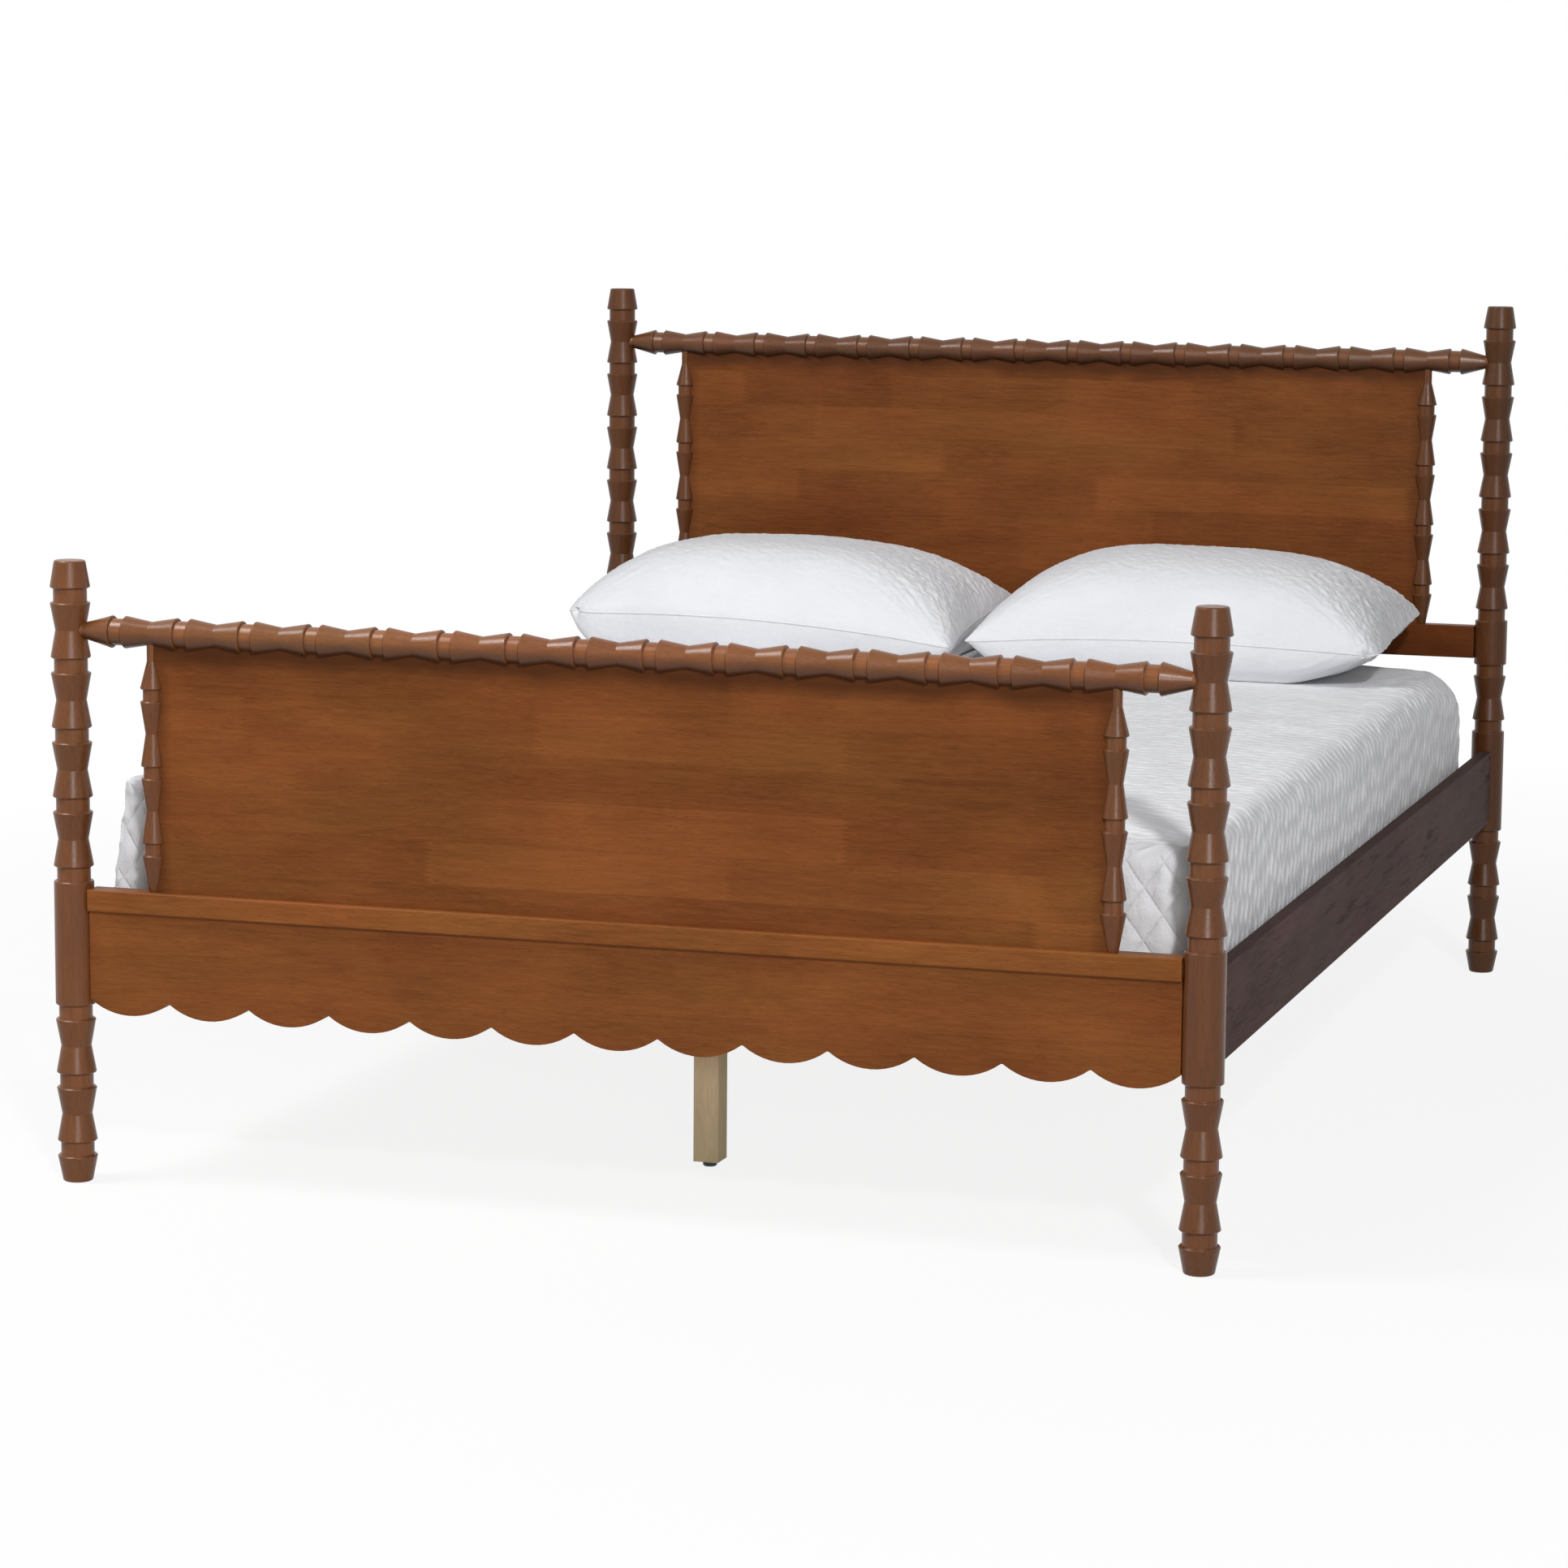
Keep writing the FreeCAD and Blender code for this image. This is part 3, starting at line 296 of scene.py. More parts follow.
def wood(name, colour, along, offset, *, rough, specular, contrast=1.0, stave=None, wear=0.5, knots=0.25,
         edge=WOOD_EDGE, collar=None, marks=0.0, painted_top_shade=0.0, border=None):
    """Open-pored wood under a satin stain. stave is (length, height, tone spread) of glued-up staves, and
    collar is (axis point, radius) of a turned piece's narrow rings. knots is the share of cells with a knot, marks
    the depth of mineral streaks, and lid how far painted shade darkens the faces that look up. border is (half
    width, top) of a panel that gets painted shade under the rail above it and along its two sides."""
    t = new_material(name)
    grain = Grain(t, along, offset)
    texture = {kind: grain.texture(kind)
               for kind in ("broad", "streak", "fibre", "blotch", "pore", "vein", "olive")}

    tone = 0.0
    for kind, reach in GRAIN_TONES.items():
        tone = t.math("ADD", tone, t.vary(texture[kind], -reach, reach))
    rings = t.math("FRACT", t.math("MULTIPLY", texture["vein"], VEIN_COUNT))
    ring = t.math("ABSOLUTE", t.math("SUBTRACT", rings, 0.5))
    tone = t.math("SUBTRACT", tone, t.math("MULTIPLY", t.span(ring, 0.0, 0.07, 1.0, 0.0), VEIN_DEPTH))
    if stave:
        tone = glue_up(t, grain, tone, stave)
    tone = t.math("MULTIPLY_ADD", tone, 0.5 * contrast, 0.5, clamp=True)
    dark = [c * k for c, k in zip(colour, DARK_GRAIN)]
    light = [c * k for c, k in zip(colour, LIGHT_GRAIN)]
    pale = (*(min(1, c * k) for c, k in zip(colour, RUBBED)), 1)
    stain = t.ramp(tone, (0.0, dark), (0.5, colour), (1.0, light))
    stain = t.mix(t.span(texture["olive"], 0.38, 0.66, 0.0, 0.55), stain, OLIVE_CAST, blend="MULTIPLY")
    holes = t.span(texture["pore"], 0.66, 0.76, 0.0, 0.40 * contrast)
    stain = t.mix(holes, stain, shade(colour, 0.36))
    cell = t.add("TexVoronoi", {"Vector": grain.stretched(*KNOT_SCALE), "Scale": 1.0})
    pick = t.add("SeparateColor", {"Color": cell.outputs["Color"]}).outputs[0]
    knot = t.span(cell.outputs["Distance"], 0.012, 0.045, 1.0, 0.0)
    knot = t.math("MULTIPLY", knot, t.math("LESS_THAN", pick, knots))
    stain = t.mix(t.math("MULTIPLY", knot, 0.8), stain, shade(colour, 0.28))
    if marks:
        zone = t.span(grain.texture("smudge_zone"), 0.50, 0.60, 0.0, marks)
        smudge = t.math("MULTIPLY", t.span(grain.texture("smudge"), 0.54, 0.64), zone)
        stain = t.mix(smudge, stain, shade(colour, 0.42))
    # Painted shade: faces that look up, such as a side rail's top under the mattress, are darkened.
    if painted_top_shade:
        up = t.vector("DOT_PRODUCT", t.face(), (0, 0, 1))
        stain = t.mix(t.span(up, 0.5, 0.9, 0.0, painted_top_shade), stain, shade(colour, 0.4))
    # Painted shade on a panel: the rail's shadow along its top and darker strips at its sides.
    if border:
        stain = t.mix(painted_frame_shade(t, grain, border), stain, shade(colour, 0.30))
    if collar:
        stain = turned_stain_and_painted_shade(t, stain, colour, pale, texture["streak"], along, collar)
    rounded, turn = t.soft_edges(edge, 6)
    rub = t.math("MULTIPLY", t.span(turn, 0.004, 0.16, 0.0, wear),
                 t.span(t.noise(grain.plain, 70.0, 3.0), 0.3, 0.62, 0.35, 1.0))
    stain = t.mix(rub, stain, pale)

    gloss = t.math("ADD", t.vary(texture["fibre"], rough - 0.05, rough + 0.07),
                   t.vary(texture["blotch"], -0.04, 0.04))
    relief = t.math("ADD", t.math("MULTIPLY", texture["fibre"], 0.5), t.math("MULTIPLY", texture["streak"], 0.6))
    relief = t.math("SUBTRACT", relief, t.math("MULTIPLY", holes, 1.2))
    shader = t.add("BsdfPrincipled", {"Base Color": stain, "Roughness": gloss, "Specular IOR Level": specular,
                                      "Normal": t.bump(relief, 0.35, 0.00035, rounded)})
    return t.output(shader.outputs[0])


# Metal and plastic.
STEEL_TONES = ((0.42, 0.42, 0.41), (0.62, 0.61, 0.58))
STEEL_RUBBED = (0.78, 0.77, 0.74, 1)
STEEL_EDGE = 0.0006
BRUSHED_SCALE = (90, 90, 1400)
PLASTIC_TONES = ((0.010, 0.010, 0.011), (0.022, 0.022, 0.023))
PLASTIC_RUBBED = (0.06, 0.06, 0.06, 1)
PLASTIC_EDGE = 0.0008


def cloudy_tone(t, cloud, tones):
    return t.ramp(cloud, (NOISE_LOW, tones[0]), (NOISE_HIGH, tones[1]))


def steel(name):
    t = new_material(name)
    coords = t.place()
    brushed = t.noise(t.vector("MULTIPLY", coords, BRUSHED_SCALE), 1.0, 3.0, 0.6)
    cloud = t.noise(coords, 60.0, 3.0)
    rounded, turn = t.soft_edges(STEEL_EDGE, 4)
    colour = t.mix(t.span(turn, 0.01, 0.2, 0.0, 0.6), cloudy_tone(t, cloud, STEEL_TONES), STEEL_RUBBED)
    gloss = t.math("ADD", t.vary(brushed, 0.28, 0.42), t.vary(cloud, -0.04, 0.04))
    shader = t.add("BsdfPrincipled", {"Base Color": colour, "Roughness": gloss, "Metallic": 1.0,
                                      "Normal": t.bump(brushed, 0.2, 0.0002, rounded)})
    return t.output(shader.outputs[0])


def black_plastic(name):
    t = new_material(name)
    coords = t.place()
    pebble = t.noise(coords, 900.0)
    cloud = t.noise(coords, 120.0, 3.0)
    rounded, turn = t.soft_edges(PLASTIC_EDGE, 4)
    colour = t.mix(t.span(turn, 0.01, 0.2, 0.0, 0.5), cloudy_tone(t, cloud, PLASTIC_TONES), PLASTIC_RUBBED)
    shader = t.add("BsdfPrincipled", {"Base Color": colour, "Roughness": t.vary(pebble, 0.38, 0.55),
                                      "Normal": t.bump(pebble, 0.3, 0.0002, rounded)})
    return t.output(shader.outputs[0])


# Fabrics.
KNIT_WHITE = (0.85, 0.855, 0.88, 1)
COTTON_WHITE = (0.75, 0.755, 0.78, 1)
QUILT_WIDTH = 0.046
QUILT_HEIGHT = 0.062
QUILT_BASE = 0.2795
KNIT_LOOPS = (620, 430, 430)
KNIT_CRIMP = (16, 150, 16)
KNIT_PUCKER = (90, 90, 60)
COTTON_CRINKLE = (70, 130, 110)
COTTON_THREADS = {"Scale": 260.0, "Distortion": 1.2, "Detail": 2.0}


def cloth_shader(t, tone, rough, sheen, normal):
    shader = t.add("BsdfPrincipled", {"Base Color": tone, "Roughness": rough, "Specular IOR Level": 0.2,
                                      "Sheen Weight": sheen, "Sheen Roughness": 0.5, "Normal": normal})
    return t.output(shader.outputs[0])


def knit(name, colour):
    """Stretch knit: rows of small loops, ridges where the mattress has them, and quilting on its two ends."""
    t = new_material(name)
    coords = t.place()
    cloud = t.noise(coords, 14.0, 3.0)
    fuzz = t.noise(coords, 420.0, 3.0, 0.6)
    loops = t.add("TexVoronoi", {"Vector": t.vector("MULTIPLY", coords, KNIT_LOOPS), "Scale": 1.0,
                                 "Randomness": 0.55}).outputs["Distance"]
    crimp = t.noise(t.vector("MULTIPLY", coords, KNIT_CRIMP), 1.0, 3.0, 0.55, 0.5)
    pucker = t.noise(t.vector("MULTIPLY", coords, KNIT_PUCKER), 1.0, 4.0, 0.6, 1.2)
    rib = t.add("Attribute", attribute_name="rib_place").outputs["Fac"]
    raised = t.add("Attribute", attribute_name="rib_height").outputs["Fac"]
    rib = t.math("MULTIPLY", t.math("SMOOTH_MIN", t.span(rib, 0.16, 0.0), 0.8, 0.3), raised)
    split = t.add("SeparateXYZ", {"Vector": coords})
    u = t.math("DIVIDE", split.outputs["X"], QUILT_WIDTH)
    v = t.math("DIVIDE", t.math("SUBTRACT", split.outputs["Z"], QUILT_BASE), QUILT_HEIGHT)
    rows = [t.math("ABSOLUTE", t.math("SINE", t.math("MULTIPLY", t.math(how, u, v), math.pi)))
            for how in ("ADD", "SUBTRACT")]
    on_end = t.span(t.math("ABSOLUTE", t.vector("DOT_PRODUCT", t.face(), (0, 1, 0))), 0.72, 0.92)
    sewn = t.math("MULTIPLY", t.span(t.math("MINIMUM", *rows), 0.02, 0.20, 1.0, 0.0), on_end)

    tone = t.ramp(t.math("ADD", t.vary(cloud, 0.25, 0.6), t.vary(fuzz, -0.2, 0.2)),
                  (0.0, shade(colour, 0.93)), (1.0, shade(colour, 1.03)))
    tone = t.mix(t.span(loops, 0.35, 0.8, 0.0, 0.16), tone, shade(colour, 0.72))
    # Painted shade along the sewn quilting lines.
    tone = t.mix(t.math("MULTIPLY", sewn, 0.22), tone, shade(colour, 0.62))
    height = t.math("SUBTRACT", t.math("MULTIPLY", fuzz, 0.4), loops)
    for share, amount in ((crimp, 1.2), (rib, 2.6), (sewn, -3.0), (t.math("MULTIPLY", pucker, on_end), 5.0)):
        height = t.math("ADD", height, t.math("MULTIPLY", share, amount))
    return cloth_shader(t, tone, t.vary(fuzz, 0.82, 0.95), 0.12, t.bump(height, 0.45, 0.0006))


def cotton(name, colour):
    """Washed cotton: plain weave with fine crinkles."""
    t = new_material(name)
    coords = t.place()
    cloud = t.noise(coords, 11.0, 3.0)
    crinkle = t.noise(t.vector("MULTIPLY", coords, COTTON_CRINKLE), 1.0, 5.0, 0.62, 0.6)
    warp, weft = (t.add("TexWave", {"Vector": coords, **COTTON_THREADS}, bands_direction=way).outputs["Fac"]
                  for way in ("X", "Y"))
    thread = t.math("MULTIPLY", warp, weft)
    tone = t.ramp(t.vary(cloud, 0.0, 1.0), (0.0, shade(colour, 0.965)), (1.0, shade(colour, 1.02)))
    tone = t.mix(t.span(thread, 0.0, 0.5, 0.09, 0.0), tone, shade(colour, 0.78))
    height = t.math("ADD", crinkle, t.math("MULTIPLY", thread, 0.1))
    return cloth_shader(t, tone, t.span(thread, 0.0, 1.0, 0.78, 0.92), 0.1, t.bump(height, 0.4, 0.0022))


# The CAD nodes' finishes.
POST_AT, SPINDLE_AT, END_AT = 0.7075, 0.5992, 1.0015
POST_RING, SPINDLE_RING = 0.0223, 0.0136
# Turned pieces: the axis, a point on it, the radius that takes in the collars, and how far the stain is darkened;
# on the headboard's pieces and the right foot post that darkening is painted shade.
TURNED = {
    "head_post_left": ("Z", (-POST_AT, END_AT, 0), POST_RING, 0.56),
    "head_post_right": ("Z", (POST_AT, END_AT, 0), POST_RING, 0.56),
    "foot_post_left": ("Z", (-POST_AT, -END_AT, 0), POST_RING, 1.0),
    "foot_post_right": ("Z", (POST_AT, -END_AT, 0), POST_RING, 0.86),
    "headboard_spindle_left": ("Z", (-SPINDLE_AT, END_AT, 0), SPINDLE_RING, 0.66),
    "headboard_spindle_right": ("Z", (SPINDLE_AT, END_AT, 0), SPINDLE_RING, 0.6),
    "footboard_spindle_left": ("Z", (-SPINDLE_AT, -END_AT, 0), SPINDLE_RING, 0.9),
    "footboard_spindle_right": ("Z", (SPINDLE_AT, -END_AT, 0), SPINDLE_RING, 0.9),
    "headboard_crest_rail": ("X", (0, END_AT, 0.94105), POST_RING, 0.62),
    "footboard_crest_rail": ("X", (0, -END_AT, 0.68425), POST_RING, 1.0),
}
TURNED_EDGE = 0.0011
CREST_SPECULAR, HEAD_SPECULAR, FOOT_SPECULAR = 0.36, 0.22, 0.30
# Panels: staves, offset of the grain, how far the stain is darkened (on the headboard's panel that darkening is
# painted shade), and height of the rail above.
PANELS = {
    "headboard_panel": ((0.34, 0.050, 0.34), 3.1, 0.84, 0.918),
    "footboard_panel": ((0.38, 0.053, 0.34), 7.7, 1.0, 0.661),
}
PANEL_HALF = SPINDLE_AT - 0.012
BOARDS = {
    "footboard_scalloped_apron": (shade(PANEL_STAIN, 1.06), (0.42, 0.066, 0.22)),
    "footboard_cap_rail": (CAP_STAIN, None),
    "headboard_lower_rail": (LOWER_RAIL_SHADED_STAIN, None),
    "headboard_bottom_rail": (PANEL_STAIN, (0.4, 0.06, 0.2)),
}
BOARD_EDGE = 0.0018
BOARD_OFFSET = 13.7
RAIL_STAVE = (0.55, 0.058, 0.12)
RAIL_EDGE = 0.0015
PALE_PIECES = ("slat_", "side_cleat", "centre_beam", "centre_leg", "apron_dowels")
PALE_LENGTHWISE = ("side_cleat_left", "side_cleat_right", "centre_beam")
STEEL_PIECES = ("glide_stem", "beam_bracket", "rail_hook", "hook_", "leg_insert", "leg_bolts", "slat_screws",
                "cleat_screws")


def dress(name, material):
    mesh = nodes[name].data
    mesh.materials.clear()
    mesh.materials.append(material)


def dress_turned():
    for i, (name, (along, middle, ring, depth)) in enumerate(TURNED.items()):
        crest = "crest" in name
        specular = CREST_SPECULAR if crest else HEAD_SPECULAR if "head" in name else FOOT_SPECULAR
        dress(name, wood("stain_" + name, shade(CREST_STAIN if crest else POST_STAIN, depth), along,
                         (0.37 * i, 0.61 * i, 0.83 * i), contrast=0.8, rough=0.30, specular=specular, wear=0.45,
                         knots=0.12, edge=TURNED_EDGE, collar=(middle, ring)))


def dress_boards():
    for name, (stave, seed, depth, top) in PANELS.items():
        dress(name, wood("stain_" + name, shade(PANEL_STAIN, depth), "X", (seed, 0.4, 0.017 * seed), stave=stave,
                         rough=0.44, specular=0.10, border=(PANEL_HALF, top)))
    for i, (name, (colour, stave)) in enumerate(BOARDS.items()):
        dress(name, wood("stain_" + name, colour, "X", (BOARD_OFFSET + i, 0.3 * i, 0.11 * i), stave=stave,
                         rough=0.42, specular=0.11, wear=0.8, edge=BOARD_EDGE))
    for i, name in enumerate(("side_rail_left", "side_rail_right")):
        dress(name, wood("stain_" + name, RAIL_STAIN_AND_SHADE, "Y", (0.7 * i, 1.3, 0.09), contrast=1.5, stave=RAIL_STAVE,
                         rough=0.58, specular=0.014, wear=0.3, knots=0.75, edge=RAIL_EDGE, marks=0.9, painted_top_shade=0.6))


def dress_base():
    metal = steel("zinc_steel")
    plastic = black_plastic("black_moulded_plastic")
    for i, name in enumerate(sorted(nodes)):
        if name.startswith(PALE_PIECES) and "screws" not in name:
            along = "X" if name.startswith("slat_") else "Y" if name in PALE_LENGTHWISE else "Z"
            dress(name, wood("pale_" + name, PALE_WOOD, along, (0.53 * i, 0.29 * i, 0.17 * i), contrast=0.55,
                             rough=0.6, specular=0.25, wear=0.25, knots=0.3))
        elif name.startswith("leg_glide"):
            dress(name, plastic)
        elif name.startswith(STEEL_PIECES):
            dress(name, metal)


# Soft pieces.
def mesh_object(name, verts, faces, material):
    mesh = bpy.data.meshes.new(name)
    mesh.from_pydata(np.asarray(verts).tolist(), [], np.asarray(faces).tolist())
    mesh.materials.append(material)
    mesh.polygons.foreach_set("use_smooth", [True] * len(mesh.polygons))
    mesh.update()
    made = bpy.data.objects.new(name, mesh)
    scene.collection.objects.link(made)
    return made


def points(obj):
    co = np.zeros(len(obj.data.vertices) * 3)
    obj.data.vertices.foreach_get("co", co)
    return co.reshape(-1, 3)


def normals(obj):
    no = np.zeros(len(obj.data.vertices) * 3)
    obj.data.vertex_normals.foreach_get("vector", no)
    return no.reshape(-1, 3)


def set_points(obj, co):
    obj.data.vertices.foreach_set("co", np.asarray(co, np.float32).ravel())
    obj.data.update()


def apply_modifiers(obj):
    graph = bpy.context.evaluated_depsgraph_get()
    made = bpy.data.meshes.new_from_object(obj.evaluated_get(graph))
    obj.modifiers.clear()
    old = obj.data
    obj.data = made
    bpy.data.meshes.remove(old)


def subdivide(obj, levels):
    modifier = obj.modifiers.new("finer", "SUBSURF")
    modifier.levels = levels
    modifier.render_levels = levels
    apply_modifiers(obj)


def inflate(obj, pins, pressure, frames, stiffness, bending, mass, limit):
    """Swells a closed cloth by air pressure, without gravity, and keeps the simulated mesh. The pinned points
    stay, and no point moves further than the limit."""
    start = points(obj)
    group = obj.vertex_groups.new(name="pins")
    group.add([int(i) for i in pins], 1.0, "REPLACE")
    cloth = obj.modifiers.new("cloth", "CLOTH")
    s = cloth.settings
    s.quality = 6
    s.mass = mass
    s.tension_stiffness = stiffness
    s.compression_stiffness = stiffness
    s.shear_stiffness = stiffness * 0.4
    s.bending_stiffness = bending
    s.use_pressure = True
    s.uniform_pressure_force = pressure
    s.effector_weights.gravity = 0.0
    s.vertex_group_mass = group.name
    cloth.collision_settings.use_collision = False
    cloth.point_cache.frame_start = 1
    cloth.point_cache.frame_end = frames
    for f in range(1, frames + 1):
        scene.frame_set(f)
    apply_modifiers(obj)
    scene.frame_set(1)
    obj.vertex_groups.clear()
    moved = points(obj) - start
    length = np.linalg.norm(moved, axis=1, keepdims=True)
    set_points(obj, start + moved * np.minimum(1.0, limit / np.maximum(length, 1e-9)))


def smooth(a, b, x):
    """A soft step from 0 at a to 1 at b."""
    s = np.clip((x - a) / (b - a), 0, 1)
    return s * s * (3 - 2 * s)


def field(co, scale, seed):
    """Smooth noise from -1 to 1 at each point, in waves of the given scale per metre."""
    scale = np.broadcast_to(np.asarray(scale, float), (3,))
    return np.array([noise.noise(Vector((p * scale + seed).tolist())) for p in co])


# Mattress.
MATTRESS_RIDGE = 0.0245
MATTRESS_RIDGE_HEIGHT = 0.0021
MATTRESS_RIDGE_WIDTH = 0.17  # in pitches
MATTRESS_RIDGE_RUN = 2.2  # length that the ridges are counted along
MATTRESS_WAVE = 0.040
MATTRESS_WAVE_HEIGHT = 0.0056
MATTRESS_WAVE_TURN = 2.4  # most that a wave is turned from its neighbour, in radians
MATTRESS_WAVE_SEED = 4
MATTRESS_CELLS = (58, 96, 10)
MATTRESS_FINER = (4, 6, 5)
MATTRESS_CLOTH = {"pressure": 3.0, "frames": 20, "stiffness": 15.0, "bending": 0.5, "mass": 0.3, "limit": 0.003}
MATTRESS_CROWDING = 0.25  # how far the grid's columns crowd towards the two sides
# Room that the ridges need inside the CAD block: at its low and at its high faces.
MATTRESS_ROOM_LOW = (0.0015, 0.003, 0.0002)
MATTRESS_ROOM_HIGH = (0.003, 0.003, 0.0015)
# Upright corners, by the signs of x and y: radius low down, radius at the top, and power of the change between.
MATTRESS_CORNERS = {
    (-1, -1): (0.006, 0.060, 1.1),
    (1, -1): (0.020, 0.045, 1.5),
    (-1, 1): (0.065, 0.150, 5.0),
    (1, 1): (0.060, 0.150, 5.0),
}
EDGE_LOW, EDGE_TOP, EDGE_SHARP = 0.016, 0.013, 0.007
QUILT_PUFF = 0.0042


def rounded_block(lo, hi, cells, radii):
    """A closed grid of a block with rounded edges: points, faces and each point's place in the grid."""
    nx, ny, nz = cells
    index = -np.ones((nx + 1, ny + 1, nz + 1), int)
    grid = np.indices(index.shape)
    shell = np.zeros(index.shape, bool)
    for axis, n in enumerate(cells):
        shell |= (grid[axis] == 0) | (grid[axis] == n)
    index[shell] = np.arange(shell.sum())
    ijk = np.stack([g[shell] for g in grid], 1)
    share = ijk / np.array(cells)
    share[:, 0] -= MATTRESS_CROWDING * np.sin(2 * np.pi * share[:, 0]) / (2 * np.pi)
    p = lo + (hi - lo) * share
    r = radii(p)
    q = np.clip(p, lo + r, hi - r)
    d = (p - q) / r
    size = np.linalg.norm(d, axis=1, keepdims=True)
    out = q + r * d / np.maximum(size, 1e-9)
    faces = []
    for axis in range(3):
        for end in (0, cells[axis]):
            plane = np.take(index, end, axis=axis)
            quads = np.stack([plane[:-1, :-1], plane[1:, :-1], plane[1:, 1:], plane[:-1, 1:]], -1).reshape(-1, 4)
            outward = (end > 0) == (axis != 1)
            faces.append(quads if outward else quads[:, ::-1])
    return out, np.concatenate(faces), ijk


def spread(values, ijk, cells, fine_ijk, finer):
    """Values at the points of a coarse block's grid, read between them at the points of a finer one."""
    dense = np.zeros(tuple(n + 1 for n in cells) + (values.shape[1],))
    dense[tuple(ijk.T)] = values
    at = fine_ijk / np.array(finer)
    base = np.minimum(at.astype(int), np.array(cells) - 1)
    part = at - base
    total = np.zeros((len(at), values.shape[1]))
    for corner in np.ndindex(2, 2, 2):
        weight = np.prod(np.where(np.array(corner) == 1, part, 1 - part), axis=1)
        total += weight[:, None] * dense[tuple((base + corner).T)]
    return total


def round_corners(co, lo, hi):
    """Rounds the four upright corners of the mattress in plan."""
    co = co.copy()
    for (sx, sy), (lower, upper, power) in MATTRESS_CORNERS.items():
        r = lower + (upper - lower) * smooth(lo[2] + 0.04, hi[2], co[:, 2]) ** power
        side, end = (hi[0] if sx > 0 else -lo[0]), (hi[1] if sy > 0 else -lo[1])
        dx = np.clip((sx * co[:, 0] - (side - r)) / r, 0, 1)
        dy = np.clip((sy * co[:, 1] - (end - r)) / r, 0, 1)
        co[:, 0] -= sx * r * dx * (1 - np.sqrt(1 - dy ** 2 / 2))
        co[:, 1] -= sy * r * dy * (1 - np.sqrt(1 - dx ** 2 / 2))
    return co


def ridge_distance(co, run, sway):
    """Distance to the nearest ridge, in ridge pitches. Each ridge crosses the bed in a wave of its own."""
    count = int(MATTRESS_RIDGE_RUN / MATTRESS_RIDGE)
    draw = np.random.RandomState(MATTRESS_WAVE_SEED)
    turns = np.cumsum(draw.uniform(-MATTRESS_WAVE_TURN, MATTRESS_WAVE_TURN, count))
    nearest = np.ones(len(co))
    for step in (-1, 0, 1):
        k = np.round(co[:, 1] / MATTRESS_RIDGE).astype(int) + step
        wave = np.sin(2 * np.pi * run / MATTRESS_WAVE + turns[k + count // 2] + 2.0 * sway)
        centre = k * MATTRESS_RIDGE + MATTRESS_WAVE_HEIGHT * wave + 0.004 * sway
        nearest = np.minimum(nearest, np.abs(co[:, 1] - centre) / MATTRESS_RIDGE)
    return nearest


def edge_radii(p, bottom):
    """Radius of the mattress's edges at each point: larger along the top's right, head and foot."""
    right = smooth(0.40, 0.62, p[:, 0]) * smooth(-0.85, -0.25, p[:, 1])
    head = smooth(0.70, 0.90, p[:, 1])
    foot = smooth(-0.78, -0.90, p[:, 1]) * smooth(0.68, 0.60, np.abs(p[:, 0]))
    top = np.maximum(EDGE_TOP + 0.029 * right, np.maximum(EDGE_TOP + 0.027 * head, EDGE_TOP + 0.023 * foot))
    lift = smooth(bottom, bottom + 0.14, p[:, 2])
    sharp = smooth(-0.50, -0.62, p[:, 0]) * smooth(-0.75, -0.88, p[:, 1])
    r = EDGE_LOW + (top - EDGE_LOW) * lift
    return np.repeat((r + (EDGE_SHARP - r) * sharp)[:, None], 3, axis=1)


def settle_mattress(co, lo, hi, half, pressed, rise):
    """Crowns the top, presses it under the pillows, and lets sides and corners sit as they do in the photo."""
    crown = np.clip(1 - (co[:, 0] / half[0]) ** 2, 0, 1) * np.clip(1 - (co[:, 1] / half[1]) ** 2, 0, 1)
    co[:, 2] += (0.0030 * crown ** 0.5 * (1 - pressed) - 0.0020 * pressed) * rise
    # The sides spread a little low down, where the rails hold them.
    waist = smooth(lo[2], lo[2] + 0.03, co[:, 2]) * smooth(hi[2] - 0.02, lo[2] + 0.06, co[:, 2])
    inner = smooth(-0.93, -0.8, co[:, 1]) * smooth(0.97, 0.85, co[:, 1])
    spill = np.where(co[:, 0] < 0, 0.001 + 0.005 * inner, 0.003 * inner * smooth(0.6, 0.0, co[:, 1]))
    co[:, 0] += spill * np.sign(co[:, 0]) * smooth(0.55, 0.66, np.abs(co[:, 0])) * waist
    # The corner at the head's right sinks; the padding stands a little higher in the corner at the foot's left.
    co[:, 2] -= 0.0090 * smooth(0.50, 0.68, co[:, 0]) * smooth(0.70, 0.94, co[:, 1]) * rise
    co[:, 2] += 0.0085 * smooth(-0.2, -0.6, co[:, 0]) * smooth(-0.2, -0.8, co[:, 1]) * rise


